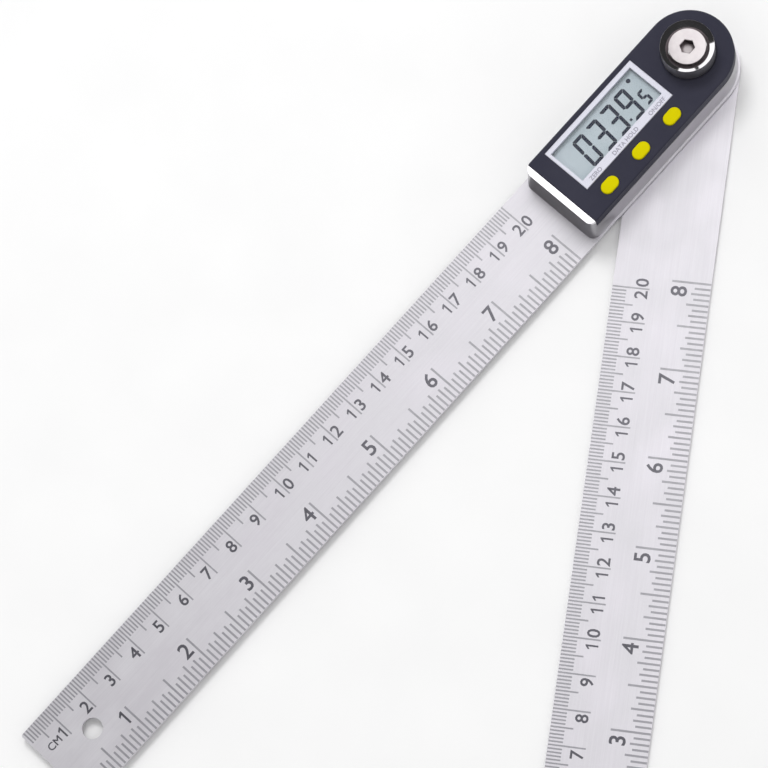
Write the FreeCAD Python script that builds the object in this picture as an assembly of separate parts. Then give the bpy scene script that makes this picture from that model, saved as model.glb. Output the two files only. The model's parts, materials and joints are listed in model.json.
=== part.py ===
import FreeCAD, Part
import math
import os

V = FreeCAD.Vector

# Rules: two stamped steel blades that cross at the pivot
RULE_LENGTH = 265.5          # pivot axis to the zero end
RULE_WIDTH = 27.5
RULE_THICKNESS = 1.2
RULE_GAP = 0.3               # slip washer space between the two rules
OPENING_ANGLE = 33.95        # angle between the rules at rest, as the display reads
HANG_HOLE_D = 6.0
HANG_HOLE_FROM_TIP = 15.0
TIP_CORNER_R = 0.8

# Head envelope, above the upper rule
HEAD_HEIGHT = 12.3
HEAD_HALF_FOOT = 13.2        # half width where it meets the rule
HEAD_HALF_TOP = 12.8         # half width at the cover's top face
HEAD_END_FOOT = 56.1         # pivot axis to the foot of the end wall
HEAD_END_TOP = 54.85
HEAD_CORNER_R = 2.5
COVER_END = 53.3             # pivot axis to the cover's square end
COVER_SKIRT = 4.0            # height of the cover's dark side below its top face
COVER_TOP_WALL = 1.6
COVER_EDGE = 0.35            # chamfer along the top edge of the cover
HEAD_WALL = 1.6
FLOOR_THICKNESS = 1.4
PART_GROOVE = 0.35           # shadow groove between cover and case frame
TONGUE_DEPTH = 1.0
TONGUE_THICKNESS = 0.45
LIP_DROP = 0.25              # end lip stands this much below the cover's top
LIP_FLAT = 0.2               # flat top of the end lip, inside its bevel

# Pivot and encoder
HUB_JOURNAL_R = 5.0
HUB_NECK_R = 4.0
HUB_FOOT_R = 7.0
HUB_FOOT_HEIGHT = 0.6
HUB_THREAD_R = 2.5
HUB_THREAD_FLOOR = 6.0       # height of the bottom of the threaded hole
HUB_TOP_CHAMFER = 0.4
HUB_TOP_DROP = 0.8           # top of the hub below the top of the pivot sleeve
BUSH_WALL = 1.6
BUSH_FLANGE_R = 8.0
BUSH_FLANGE_HEIGHT = 0.6
THRUST_WASHER_R = 7.5
THRUST_WASHER_THICKNESS = 0.36
SLIP_WASHER_R = 11.0
SLIP_WASHER_BORE_R = 6.0
ROTOR_TO_WALL = 1.3          # radial space between the rotor and the side walls
ROTOR_CARRIER_HEIGHT = 1.1
ROTOR_RIM_WIDTH = 1.2        # solid rim and boss either side of the relief under the carrier
ROTOR_BOSS_WIDTH = 2.4
BOARD_THICKNESS = 0.8
ENCODER_GAP = 0.3
STATOR_TO_WALL = 0.6
STATOR_THICKNESS = 1.0
DECK_THICKNESS = 1.5
DECK_START = 11.6            # pivot axis to the free edge of the deck
CLIP_R = 4.95
CLIP_THICKNESS = 0.5
CLIP_OPENING = 1.6
CLIP_ROOM = 0.35             # radial space round the clip inside the stator board
SLEEVE_ROOM = 0.6            # radial space round the hub's neck in the deck
SLEEVE_R = 6.0
SLEEVE_FLANGE_R = 7.5
SLEEVE_FLANGE_HEIGHT = 1.0
SLEEVE_PROUD = 0.2

# Lock knob
KNOB_R = 7.65
KNOB_HEIGHT = 6.0            # knob rim above the cover's top face
KNOB_RIM_WIDTH = 0.3
KNOB_RIM_CHAMFER = 0.15
KNOB_DISH_DEPTH = 1.1
KNOB_RECESS_R = 8.1
KNOB_RECESS_DEPTH = 0.4
KNOB_SKIRT_GAP = 0.25        # skirt above the floor of its recess
KNOB_WASHER_ROOM = 0.2       # radial space round the clamp washer inside the knob
CLAMP_WASHER_R = 6.4
CLAMP_WASHER_THICKNESS = 0.6
SCREW_HEAD_R = 5.3
SCREW_HEAD_HEIGHT = 3.3
SCREW_HEAD_PROUD = 0.9       # top of the screw head above the knob rim
SCREW_SHANK_R = 2.9
SCREW_SOCKET_AF = 4.0
SCREW_SOCKET_DEPTH = 2.2
SCREW_EDGE_WIDTH = 0.5       # sloped edge of the head, seen from above and from the side
SCREW_EDGE_DROP = 0.35
SCREW_CORE_ROOM = 1.5        # below the screw's tip, to the bottom of its hole
SCREW_SHOULDER_GAP = 0.6     # wider shank starts this far above the hub

# Display
BEZEL_TO_EDGE = 1.6          # from the cover's long edge to the bezel
BEZEL_TO_BUTTONS = 2.1       # from the bezel to the row of buttons
BEZEL_FAR_STRIP = 1.0        # width of the silver frame at the screen's end away from the pivot
BEZEL_PIVOT_STRIP = 1.6      # and at the end beside the knob
BEZEL_UPPER_STRIP = 1.4     # along the screen, on the side away from the buttons
BEZEL_LOWER_STRIP = 2.6     # along the screen, on the side of the buttons
BEZEL_PROUD = 0.15
BEZEL_SEAT_DEPTH = 1.2
BEZEL_CHAMFER = 0.15
SCREEN_LENGTH = 33.2
SCREEN_CENTRE_X = -30.3
WINDOW_THICKNESS = 0.9
LCD_MARGIN = 0.85
LCD_GLASS_THICKNESS = 1.0
LCD_LEDGE = 1.7
ZEBRA_LENGTH = 26.8
ZEBRA_WIDTH = 1.5
CRADLE_WALL = 0.8

# Buttons and switches
BUTTON_NAMES = ["zero", "hold", "on_off"]   # from the square end towards the pivot
BUTTON_PITCH = 13.0
BUTTON_MIDDLE_X = -29.9
BUTTON_TO_EDGE = 2.1         # from the cover's long edge to the row of buttons
BUTTON_LENGTH = 5.7
BUTTON_WIDTH = 3.8
BUTTON_PROUD = 0.6
BUTTON_EDGE = 0.4            # chamfer round the top of a button
BUTTON_TRAVEL = 0.55
BUTTON_FLANGE_LENGTH = 7.4
BUTTON_FLANGE_HEIGHT = 0.75
BUTTON_STEM_R = 1.3
SWITCH_LENGTH = 4.2
SWITCH_WIDTH = 2.8
SWITCH_HEIGHT = 1.7
SWITCH_PLUNGER_R = 0.9
SWITCH_PLUNGER_HEIGHT = 0.5

# Main board and its fixings
MAIN_BOARD_THICKNESS = 1.0
MAIN_BOARD_MARGIN = 0.3
MAIN_BOARD_END = 12.8        # pivot axis to the board's near edge
BOSS_HEIGHT = 3.7
BOSS_R = 2.0
BOSS_HOLE_R = 0.95
BOSS_TO_WALL = 0.6           # from the far bosses to the side walls
BOSS_TO_END = 0.5            # from the far bosses to the end wall
BOSS_TO_BOARD_EDGE = 2.1     # from the near bosses' axes to the board's near edge
BOARD_SCREW_TO_SWITCH = 0.8
RULE_SCREW_HEAD_R = 1.9
RULE_SCREW_HEAD_HEIGHT = 1.0
RULE_SCREW_LENGTH = 4.7
SCREW_PLAY = 0.02            # radial, screw in its hole or seat
CROSS_LENGTH = 2.1           # cross recess of the small screws
CROSS_WIDTH = 0.5
CROSS_DEPTH = 0.5
BOARD_SCREW_HEAD_R = 1.7
BOARD_SCREW_HEAD_HEIGHT = 1.2
BOARD_SCREW_LENGTH = 2.2
CHIP_LENGTH = 6.4
CHIP_HEIGHT = 1.0
CHIP_EDGE = 0.3
LINK_TO_BOSS = 0.6
LINK_THICKNESS = 0.3
LINK_LAP = 3.0

# Coin battery, 20 mm across and 3.2 mm thick, and its cover
BATTERY_X = -33.0
BATTERY_R = 10.0
BATTERY_HEIGHT = 3.2
BATTERY_HOLE_R = 10.75
CAP_CLEARANCE = 0.15
CAP_RECESS = 0.12            # cap face above the upper rule's underside
CAP_THICKNESS = 1.5
CAP_LUG_R = 11.95
CAP_LUG_HEIGHT = 0.7
CAP_LUG_HALF_ANGLE = 9.0
CAP_NOTCH_ROOM = 2.0         # degrees each side of a lug in its notch
CAP_TURN = 50.0              # degrees from shut to free
COIN_SLOT_LENGTH = 13.0
COIN_SLOT_WIDTH = 1.8
COIN_SLOT_DEPTH = 0.7
SEAL_SECTION = 0.75          # side of the seal's square section
HOLDER_WALL = 0.9
HOLDER_HEIGHT = 2.8
HOLDER_FLANGE = 0.9
HOLDER_HALF_LENGTH = 12.6
BATTERY_LID_HEIGHT = 0.7
BATTERY_LID_STEP = 1.6
BATTERY_EDGE = 0.4
CONTACT_WIDTH = 4.0
CONTACT_ROOM = 0.2           # each side of the side contact in the holder's slot
CLIP_STRIP = 0.3             # thickness of the side contact
CLIP_FOOT = 2.6
SPRING_STRIP = 0.25          # thickness of the spring contact
SPRING_RUN = [-6.0, -1.5, 2.5, 5.0, 6.0]    # its bends, along the head from the battery's axis
SEAL_SQUEEZE = 0.03          # radial space left round the seal

# Clearances
RUNNING_CLEARANCE = 0.05     # radial, shaft in bore
FIT_CLEARANCE = 0.1          # moulded piece in its pocket
FACE_CLEARANCE = 0.04        # between faces that slide past each other

# Heights worked out from the sizes above, from the resting surface up
UPPER_BOTTOM = RULE_THICKNESS + RULE_GAP
UPPER_TOP = UPPER_BOTTOM + RULE_THICKNESS
FLOOR_TOP = UPPER_TOP + FLOOR_THICKNESS
COVER_TOP = UPPER_TOP + HEAD_HEIGHT
COVER_UNDERSIDE = COVER_TOP - COVER_TOP_WALL
PART_LINE = COVER_TOP - COVER_SKIRT
BOARD_BOTTOM = FLOOR_TOP + BOSS_HEIGHT
BOARD_TOP = BOARD_BOTTOM + MAIN_BOARD_THICKNESS
THRUST_BOTTOM = FLOOR_TOP + BUSH_FLANGE_HEIGHT + FACE_CLEARANCE
ROTOR_SEAT = THRUST_BOTTOM + THRUST_WASHER_THICKNESS + FACE_CLEARANCE
ROTOR_BOARD_BOTTOM = ROTOR_SEAT + ROTOR_CARRIER_HEIGHT
ROTOR_TOP = ROTOR_BOARD_BOTTOM + BOARD_THICKNESS
STATOR_BOTTOM = ROTOR_TOP + ENCODER_GAP
DECK_BOTTOM = STATOR_BOTTOM + STATOR_THICKNESS
DECK_TOP = DECK_BOTTOM + DECK_THICKNESS
SLEEVE_TOP = COVER_TOP + SLEEVE_PROUD
WASHER_BOTTOM = SLEEVE_TOP + FACE_CLEARANCE
CLAMP_FACE = WASHER_BOTTOM + CLAMP_WASHER_THICKNESS + FACE_CLEARANCE
KNOB_BOTTOM = COVER_TOP - KNOB_RECESS_DEPTH + KNOB_SKIRT_GAP
KNOB_RIM = COVER_TOP + KNOB_HEIGHT
SCREW_HEAD_TOP = KNOB_RIM + SCREW_HEAD_PROUD
SCREW_SEAT = SCREW_HEAD_TOP - SCREW_HEAD_HEIGHT
HUB_TOP = SLEEVE_TOP - HUB_TOP_DROP
CAP_BOTTOM = UPPER_BOTTOM + CAP_RECESS
CAP_TOP = CAP_BOTTOM + CAP_THICKNESS
BATTERY_BOTTOM = CAP_TOP + FIT_CLEARANCE
BATTERY_TOP = BATTERY_BOTTOM + BATTERY_HEIGHT
LCD_TOP = COVER_UNDERSIDE - FIT_CLEARANCE
LCD_MIDDLE = LCD_TOP - LCD_GLASS_THICKNESS
LCD_BOTTOM = LCD_MIDDLE - LCD_GLASS_THICKNESS

# Places in plan worked out from the sizes above
HEAD_HALF_WIDEST = max(HEAD_HALF_FOOT, HEAD_HALF_TOP)
CAVITY_HALF = HEAD_HALF_TOP - HEAD_WALL
CAVITY_END = COVER_END - HEAD_WALL
ROTOR_R = CAVITY_HALF - ROTOR_TO_WALL
STATOR_R = CAVITY_HALF - STATOR_TO_WALL
BUTTON_Y = BUTTON_TO_EDGE + BUTTON_WIDTH / 2 - HEAD_HALF_TOP
BEZEL_HIGH_Y = HEAD_HALF_TOP - BEZEL_TO_EDGE
BEZEL_LOW_Y = BUTTON_Y + BUTTON_WIDTH / 2 + BEZEL_TO_BUTTONS
BEZEL_CENTRE_Y = (BEZEL_HIGH_Y + BEZEL_LOW_Y) / 2
BEZEL_WIDTH = BEZEL_HIGH_Y - BEZEL_LOW_Y
BEZEL_LENGTH = SCREEN_LENGTH + BEZEL_FAR_STRIP + BEZEL_PIVOT_STRIP
BEZEL_CENTRE_X = SCREEN_CENTRE_X + (BEZEL_PIVOT_STRIP - BEZEL_FAR_STRIP) / 2
SCREEN_WIDTH = BEZEL_WIDTH - BEZEL_UPPER_STRIP - BEZEL_LOWER_STRIP
SCREEN_CENTRE_Y = BEZEL_LOW_Y + BEZEL_LOWER_STRIP + SCREEN_WIDTH / 2
FAR_BOSS_X = BOSS_TO_END + BOSS_R - CAVITY_END
FAR_BOSS_Y = CAVITY_HALF - BOSS_R - BOSS_TO_WALL
NEAR_BOSS_X = -MAIN_BOARD_END - BOSS_TO_BOARD_EDGE
NEAR_BOSS_Y = -BUTTON_Y - SWITCH_WIDTH / 2 - BOARD_SCREW_TO_SWITCH - BOARD_SCREW_HEAD_R
BOSS_PAIRS = [(FAR_BOSS_X, FAR_BOSS_Y), (NEAR_BOSS_X, NEAR_BOSS_Y)]
BOSS_PLACES = [(x, side * y) for x, y in BOSS_PAIRS for side in (1, -1)]
LINK_WIDTH = 2 * (NEAR_BOSS_Y - BOSS_R - LINK_TO_BOSS)
BATTERY_BORE_R = BATTERY_R + CAP_CLEARANCE


def box(x0, x1, y0, y1, z0, z1):
    return Part.makeBox(x1 - x0, y1 - y0, z1 - z0, V(x0, y0, z0))


def centred_box(cx, cy, length, width, z0, z1):
    return box(cx - length / 2, cx + length / 2, cy - width / 2, cy + width / 2, z0, z1)


def disc(r, z0, z1, x=0.0, y=0.0):
    return Part.makeCylinder(r, z1 - z0, V(x, y, z0))


def ring(r_out, r_in, z0, z1, x=0.0, y=0.0):
    return disc(r_out, z0, z1, x, y).cut(disc(r_in, z0, z1, x, y))


def revolve(profile, x=0.0, y=0.0):
    """A closed outline of (radius, height) points turned about a vertical axis."""
    points = [V(x + r, y, z) for r, z in profile]
    face = Part.Face(Part.makePolygon(points + points[:1]))
    return face.revolve(V(x, y, 0), V(0, 0, 1), 360)


def obround(cx, cy, length, width, z0, z1):
    r = width / 2
    half = (length - width) / 2
    body = centred_box(cx, cy, length - width, width, z0, z1)
    return body.fuse([disc(r, z0, z1, cx - half, cy), disc(r, z0, z1, cx + half, cy)]).removeSplitter()


def edges_at_height(shape, z):
    """Edges that lie wholly in the horizontal plane at height z."""
    found = []
    for edge in shape.Edges:
        bb = edge.BoundBox
        if abs(bb.ZMin - z) < 1e-6 and abs(bb.ZMax - z) < 1e-6:
            found.append(edge)
    return found


def head_outline(half, end, corner, z):
    """Plan of the head: round about the pivot axis, square with small corners at the far end."""
    c = corner * (1 - math.sqrt(0.5))
    edges = [
        Part.LineSegment(V(0, half, z), V(corner - end, half, z)),
        Part.Arc(V(corner - end, half, z), V(c - end, half - c, z), V(-end, half - corner, z)),
        Part.LineSegment(V(-end, half - corner, z), V(-end, corner - half, z)),
        Part.Arc(V(-end, corner - half, z), V(c - end, c - half, z), V(corner - end, -half, z)),
        Part.LineSegment(V(corner - end, -half, z), V(0, -half, z)),
        Part.Arc(V(0, -half, z), V(half, 0, z), V(0, half, z)),
    ]
    return Part.Wire([e.toShape() for e in edges])


def head_prism(half, end, corner, z0, z1):
    return Part.Face(head_outline(half, end, corner, z0)).extrude(V(0, 0, z1 - z0))


def head_envelope():
    """The drafted outer form that the case frame and the cover share."""
    foot = head_outline(HEAD_HALF_FOOT, HEAD_END_FOOT, HEAD_CORNER_R, UPPER_TOP)
    top = head_outline(HEAD_HALF_TOP, HEAD_END_TOP, HEAD_CORNER_R, COVER_TOP)
    return Part.makeLoft([foot, top], True, True)


def cavity(z0, z1):
    return head_prism(CAVITY_HALF, CAVITY_END, HEAD_CORNER_R / 2, z0, z1)


def rule_blade(z0):
    """A blade along -X: round about the pivot axis, square at the zero end, with its hanging hole."""
    z1 = z0 + RULE_THICKNESS
    half = RULE_WIDTH / 2
    blade = head_prism(half, RULE_LENGTH, TIP_CORNER_R, z0, z1)
    return blade.cut(disc(HANG_HOLE_D / 2, z0, z1, HANG_HOLE_FROM_TIP - RULE_LENGTH))


def countersink(x, y):
    """The tapered seat of a rule screw, in the underside of the upper rule."""
    lower = UPPER_BOTTOM
    upper = UPPER_BOTTOM + RULE_SCREW_HEAD_HEIGHT
    taper = [(0, lower), (RULE_SCREW_HEAD_R, lower), (BOSS_HOLE_R, upper), (BOSS_HOLE_R, UPPER_TOP),
             (0, UPPER_TOP)]
    return revolve(taper, x, y)


def sector(r, half_angle, middle_angle, z0, z1):
    """A wedge of a disc about the battery's axis."""
    wedge = Part.makeCylinder(r, z1 - z0, V(0, 0, z0), V(0, 0, 1), 2 * half_angle)
    wedge.rotate(V(0, 0, 0), V(0, 0, 1), middle_angle - half_angle)
    wedge.translate(V(BATTERY_X, 0, 0))
    return wedge


def upper_rule():
    blade = rule_blade(UPPER_BOTTOM)
    cuts = [disc(HUB_JOURNAL_R + RUNNING_CLEARANCE + BUSH_WALL, UPPER_BOTTOM, UPPER_TOP)]
    cuts.append(disc(BATTERY_HOLE_R, UPPER_BOTTOM, UPPER_TOP, BATTERY_X))
    notch_r = CAP_LUG_R + CAP_CLEARANCE
    notch_half = CAP_LUG_HALF_ANGLE + CAP_NOTCH_ROOM
    for start in (0, 180):
        cuts.append(sector(notch_r, notch_half, start + CAP_TURN, UPPER_BOTTOM, UPPER_TOP))
    cuts += [countersink(x, y) for x, y in BOSS_PLACES]
    return blade.cut(cuts)


def lower_rule():
    blade = rule_blade(0)
    return blade.cut([
        disc(HUB_FOOT_R, 0, HUB_FOOT_HEIGHT),
        disc(HUB_JOURNAL_R, 0, RULE_THICKNESS),
    ])


def pivot_hub():
    profile = [
        (0, 0), (HUB_FOOT_R, 0), (HUB_FOOT_R, HUB_FOOT_HEIGHT), (HUB_JOURNAL_R, HUB_FOOT_HEIGHT),
        (HUB_JOURNAL_R, ROTOR_SEAT), (HUB_NECK_R, ROTOR_SEAT), (HUB_NECK_R, HUB_TOP - HUB_TOP_CHAMFER),
        (HUB_NECK_R - HUB_TOP_CHAMFER, HUB_TOP), (HUB_THREAD_R, HUB_TOP), (HUB_THREAD_R, HUB_THREAD_FLOOR),
        (0, HUB_THREAD_FLOOR - HUB_THREAD_R / 2),
    ]
    return revolve(profile)


def pivot_bush():
    bore = HUB_JOURNAL_R + RUNNING_CLEARANCE
    return ring(bore + BUSH_WALL, bore, UPPER_BOTTOM, FLOOR_TOP).fuse(
        ring(BUSH_FLANGE_R, bore, FLOOR_TOP, FLOOR_TOP + BUSH_FLANGE_HEIGHT)).removeSplitter()


def slip_washer():
    return ring(SLIP_WASHER_R, SLIP_WASHER_BORE_R, RULE_THICKNESS + FACE_CLEARANCE, UPPER_BOTTOM)


def thrust_washer():
    top = THRUST_BOTTOM + THRUST_WASHER_THICKNESS
    return ring(THRUST_WASHER_R, HUB_JOURNAL_R + FIT_CLEARANCE, THRUST_BOTTOM, top)


def rotor_carrier():
    hub = ring(ROTOR_R, HUB_NECK_R, ROTOR_SEAT, ROTOR_BOARD_BOTTOM)
    relief_top = ROTOR_SEAT + ROTOR_CARRIER_HEIGHT / 2
    relief = ring(ROTOR_R - ROTOR_RIM_WIDTH, HUB_NECK_R + ROTOR_BOSS_WIDTH, ROTOR_SEAT, relief_top)
    return hub.cut(relief)


def rotor_board():
    return ring(ROTOR_R, HUB_NECK_R, ROTOR_BOARD_BOTTOM, ROTOR_TOP)


def rotor_clip():
    """Open retaining ring on the hub's neck."""
    top = ROTOR_TOP + CLIP_THICKNESS
    clip = ring(CLIP_R, HUB_NECK_R, ROTOR_TOP, top)
    return clip.cut(box(0, CLIP_R, -CLIP_OPENING / 2, CLIP_OPENING / 2, ROTOR_TOP, top))


def stator_board():
    board = ring(STATOR_R, CLIP_R + CLIP_ROOM, STATOR_BOTTOM, DECK_BOTTOM)
    return board.common(cavity(STATOR_BOTTOM, DECK_BOTTOM))


def pivot_sleeve():
    bore = HUB_NECK_R + RUNNING_CLEARANCE
    return ring(SLEEVE_FLANGE_R, bore, DECK_TOP, DECK_TOP + SLEEVE_FLANGE_HEIGHT).fuse(
        ring(SLEEVE_R, bore, DECK_TOP + SLEEVE_FLANGE_HEIGHT, SLEEVE_TOP)).removeSplitter()


def case_frame():
    """Die-cast frame: floor, side walls, sloped end wall with its lip, bosses, deck over the encoder."""
    envelope = head_envelope()
    side = HEAD_HALF_WIDEST
    below = box(-HEAD_END_FOOT, side, -side, side, UPPER_TOP, PART_LINE)
    end_zone = box(-HEAD_END_FOOT, -COVER_END - FACE_CLEARANCE, -side, side, PART_LINE, COVER_TOP - LIP_DROP)
    body = envelope.common(below.fuse(end_zone).removeSplitter())
    body = body.cut(cavity(FLOOR_TOP, PART_LINE))
    deck = cavity(DECK_BOTTOM, DECK_TOP).common(
        box(-DECK_START, HEAD_HALF_TOP, -HEAD_HALF_TOP, HEAD_HALF_TOP, DECK_BOTTOM, DECK_TOP))
    bosses = [disc(BOSS_R, FLOOR_TOP, BOARD_BOTTOM, x, y) for x, y in BOSS_PLACES]
    body = body.fuse([deck] + bosses).removeSplitter()
    groove = 2 * CAP_CLEARANCE + CAP_LUG_HEIGHT
    cuts = [
        disc(HUB_JOURNAL_R + RUNNING_CLEARANCE + BUSH_WALL, UPPER_TOP, FLOOR_TOP),
        disc(HUB_NECK_R + SLEEVE_ROOM, DECK_BOTTOM, DECK_TOP),
        disc(BATTERY_HOLE_R, UPPER_TOP, FLOOR_TOP, BATTERY_X),
        disc(CAP_LUG_R + CAP_CLEARANCE, UPPER_TOP, UPPER_TOP + groove, BATTERY_X),
        disc(BATTERY_BORE_R + HOLDER_WALL + FACE_CLEARANCE, FLOOR_TOP, FLOOR_TOP + HOLDER_HEIGHT, BATTERY_X),
        lip_chamfer(),
    ]
    for x, y in BOSS_PLACES:
        cuts.append(disc(BOSS_HOLE_R, UPPER_TOP, BOARD_BOTTOM, x, y))
    return body.cut(cuts)


def lip_chamfer():
    """The bright bevel along the top of the end wall."""
    top = COVER_TOP - LIP_DROP
    inner = -COVER_END - FACE_CLEARANCE - LIP_FLAT
    half = HEAD_HALF_WIDEST
    reach = HEAD_END_FOOT - COVER_END
    slope = [V(inner, -half, top), V(inner - reach, -half, top), V(inner - reach, -half, top - reach)]
    face = Part.Face(Part.makePolygon(slope + slope[:1]))
    return face.extrude(V(0, 2 * half, 0))


def front_cover():
    """Moulded cover: top face with its recess and pockets, dark skirt, locating tongue, display cradle."""
    envelope = head_envelope()
    side = HEAD_HALF_WIDEST
    zone = box(-COVER_END, side, -side, side, PART_LINE, COVER_TOP)
    body = envelope.common(zone)
    body = body.makeChamfer(COVER_EDGE, edges_at_height(body, COVER_TOP))
    groove_top = PART_LINE + PART_GROOVE
    outside = head_prism(side + 1, HEAD_END_FOOT + 1, HEAD_CORNER_R, PART_LINE, groove_top)
    inside = head_prism(HEAD_HALF_TOP - PART_GROOVE, HEAD_END_FOOT, HEAD_CORNER_R, PART_LINE, groove_top)
    body = body.cut(outside.cut(inside))
    body = body.cut(cavity(PART_LINE, COVER_UNDERSIDE))
    inset = CAVITY_HALF - FACE_CLEARANCE
    tongue_low = PART_LINE - TONGUE_DEPTH
    tongue = head_prism(inset, CAVITY_END - FACE_CLEARANCE, HEAD_CORNER_R / 2, tongue_low, PART_LINE + 1)
    hollow = head_prism(inset - TONGUE_THICKNESS, CAVITY_END - FACE_CLEARANCE - TONGUE_THICKNESS,
                        HEAD_CORNER_R / 2, tongue_low, PART_LINE + 1)
    tongue = tongue.cut(hollow)
    body = body.fuse([tongue, display_cradle()]).removeSplitter()
    cuts = [
        centred_box(BEZEL_CENTRE_X, BEZEL_CENTRE_Y, BEZEL_LENGTH + 2 * FIT_CLEARANCE,
                    BEZEL_WIDTH + 2 * FIT_CLEARANCE, COVER_TOP - BEZEL_SEAT_DEPTH, COVER_TOP),
        centred_box(SCREEN_CENTRE_X, SCREEN_CENTRE_Y, SCREEN_LENGTH, SCREEN_WIDTH, COVER_UNDERSIDE, COVER_TOP),
        disc(SLEEVE_R + FIT_CLEARANCE, COVER_UNDERSIDE, COVER_TOP),
        disc(KNOB_RECESS_R, COVER_TOP - KNOB_RECESS_DEPTH, COVER_TOP),
    ]
    for x in button_places():
        cuts.append(obround(x, BUTTON_Y, BUTTON_LENGTH + 2 * FIT_CLEARANCE, BUTTON_WIDTH + 2 * FIT_CLEARANCE,
                            COVER_UNDERSIDE, COVER_TOP))
    return body.cut(cuts)


def display_cradle():
    """Wall round the liquid crystal panel, under the cover's top face."""
    length = SCREEN_LENGTH + 2 * LCD_MARGIN + 2 * FIT_CLEARANCE
    width = SCREEN_WIDTH + 2 * LCD_MARGIN + 2 * FIT_CLEARANCE
    outside = centred_box(SCREEN_CENTRE_X, SCREEN_CENTRE_Y, length + 2 * CRADLE_WALL, width + 2 * CRADLE_WALL,
                          LCD_BOTTOM, COVER_UNDERSIDE)
    inside = centred_box(SCREEN_CENTRE_X, SCREEN_CENTRE_Y, length, width, LCD_BOTTOM, COVER_UNDERSIDE)
    return outside.common(cavity(LCD_BOTTOM, COVER_UNDERSIDE)).cut(inside)


def lcd_bezel():
    """Silver frame round the display, wider on the side of the buttons, with a sloped inner edge."""
    low = COVER_TOP - BEZEL_SEAT_DEPTH
    high = COVER_TOP + BEZEL_PROUD
    plate = centred_box(BEZEL_CENTRE_X, BEZEL_CENTRE_Y, BEZEL_LENGTH, BEZEL_WIDTH, low, high)
    plate = plate.makeChamfer(BEZEL_CHAMFER, edges_at_height(plate, high))
    opening = centred_box(SCREEN_CENTRE_X, SCREEN_CENTRE_Y, SCREEN_LENGTH, SCREEN_WIDTH, low, high)
    return plate.cut(opening)


def display_window():
    length = SCREEN_LENGTH - 2 * FACE_CLEARANCE
    width = SCREEN_WIDTH - 2 * FACE_CLEARANCE
    return centred_box(SCREEN_CENTRE_X, SCREEN_CENTRE_Y, length, width, LCD_TOP, LCD_TOP + WINDOW_THICKNESS)


def lcd_panel():
    """Two glass plates; the upper one overhangs on both long sides, where the connectors touch it."""
    length = SCREEN_LENGTH + 2 * LCD_MARGIN
    width = SCREEN_WIDTH + 2 * LCD_MARGIN
    upper = centred_box(SCREEN_CENTRE_X, SCREEN_CENTRE_Y, length, width, LCD_MIDDLE, LCD_TOP)
    lower = centred_box(SCREEN_CENTRE_X, SCREEN_CENTRE_Y, length, width - 2 * LCD_LEDGE, LCD_BOTTOM, LCD_MIDDLE)
    return upper.fuse(lower).removeSplitter()


def zebra_strip(side):
    """Elastomer connector between the main board and the display's overhanging edge."""
    edge = SCREEN_WIDTH / 2 + LCD_MARGIN
    y = SCREEN_CENTRE_Y + side * (edge - LCD_LEDGE / 2)
    return centred_box(SCREEN_CENTRE_X, y, ZEBRA_LENGTH, ZEBRA_WIDTH, BOARD_TOP, LCD_MIDDLE)


def button_places():
    first = BUTTON_MIDDLE_X - BUTTON_PITCH * (len(BUTTON_NAMES) - 1) / 2
    return [first + BUTTON_PITCH * i for i in range(len(BUTTON_NAMES))]


def button(x):
    """Key with an eased top edge, a flange under the cover and a stem over its switch."""
    top = COVER_TOP + BUTTON_PROUD
    flange_top = COVER_UNDERSIDE - FACE_CLEARANCE
    flange_low = flange_top - BUTTON_FLANGE_HEIGHT
    stem_low = BOARD_TOP + SWITCH_HEIGHT + SWITCH_PLUNGER_HEIGHT + FACE_CLEARANCE + BUTTON_TRAVEL
    cap = obround(x, BUTTON_Y, BUTTON_LENGTH, BUTTON_WIDTH, flange_low, top)
    cap = cap.makeChamfer(BUTTON_EDGE, edges_at_height(cap, top))
    flange = obround(x, BUTTON_Y, BUTTON_FLANGE_LENGTH, BUTTON_WIDTH, flange_low, flange_top)
    stem = disc(BUTTON_STEM_R, stem_low, flange_low, x, BUTTON_Y)
    return cap.fuse([flange, stem]).removeSplitter()


def push_switch(x):
    body = centred_box(x, BUTTON_Y, SWITCH_LENGTH, SWITCH_WIDTH, BOARD_TOP, BOARD_TOP + SWITCH_HEIGHT)
    plunger = disc(SWITCH_PLUNGER_R, BOARD_TOP + SWITCH_HEIGHT,
                   BOARD_TOP + SWITCH_HEIGHT + SWITCH_PLUNGER_HEIGHT, x, BUTTON_Y)
    return body.fuse(plunger).removeSplitter()


def main_board():
    half = CAVITY_HALF - MAIN_BOARD_MARGIN
    board = head_prism(half, CAVITY_END - MAIN_BOARD_MARGIN, HEAD_CORNER_R / 2, BOARD_BOTTOM, BOARD_TOP)
    board = board.cut(box(-MAIN_BOARD_END, HEAD_HALF_TOP, -half, half, BOARD_BOTTOM, BOARD_TOP))
    holes = [disc(BOSS_HOLE_R, BOARD_BOTTOM, BOARD_TOP, x, y) for x, y in BOSS_PLACES]
    return board.cut(holes)


def controller_chip():
    """Square package between the two connectors, its top edges eased."""
    top = BOARD_TOP + CHIP_HEIGHT
    body = centred_box(SCREEN_CENTRE_X, SCREEN_CENTRE_Y, CHIP_LENGTH, CHIP_LENGTH, BOARD_TOP, top)
    return body.makeChamfer(CHIP_EDGE, edges_at_height(body, top))


def encoder_link():
    """Flat flexible strip soldered under the main board, reaching to the stator board's rim."""
    half = LINK_WIDTH / 2
    film = box(-MAIN_BOARD_END - LINK_LAP, 0, -half, half, BOARD_BOTTOM - LINK_THICKNESS, BOARD_BOTTOM)
    return film.cut(disc(STATOR_R, STATOR_BOTTOM, DECK_BOTTOM))


def rule_screws():
    return Part.makeCompound([rule_screw(x, y) for x, y in BOSS_PLACES])


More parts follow.
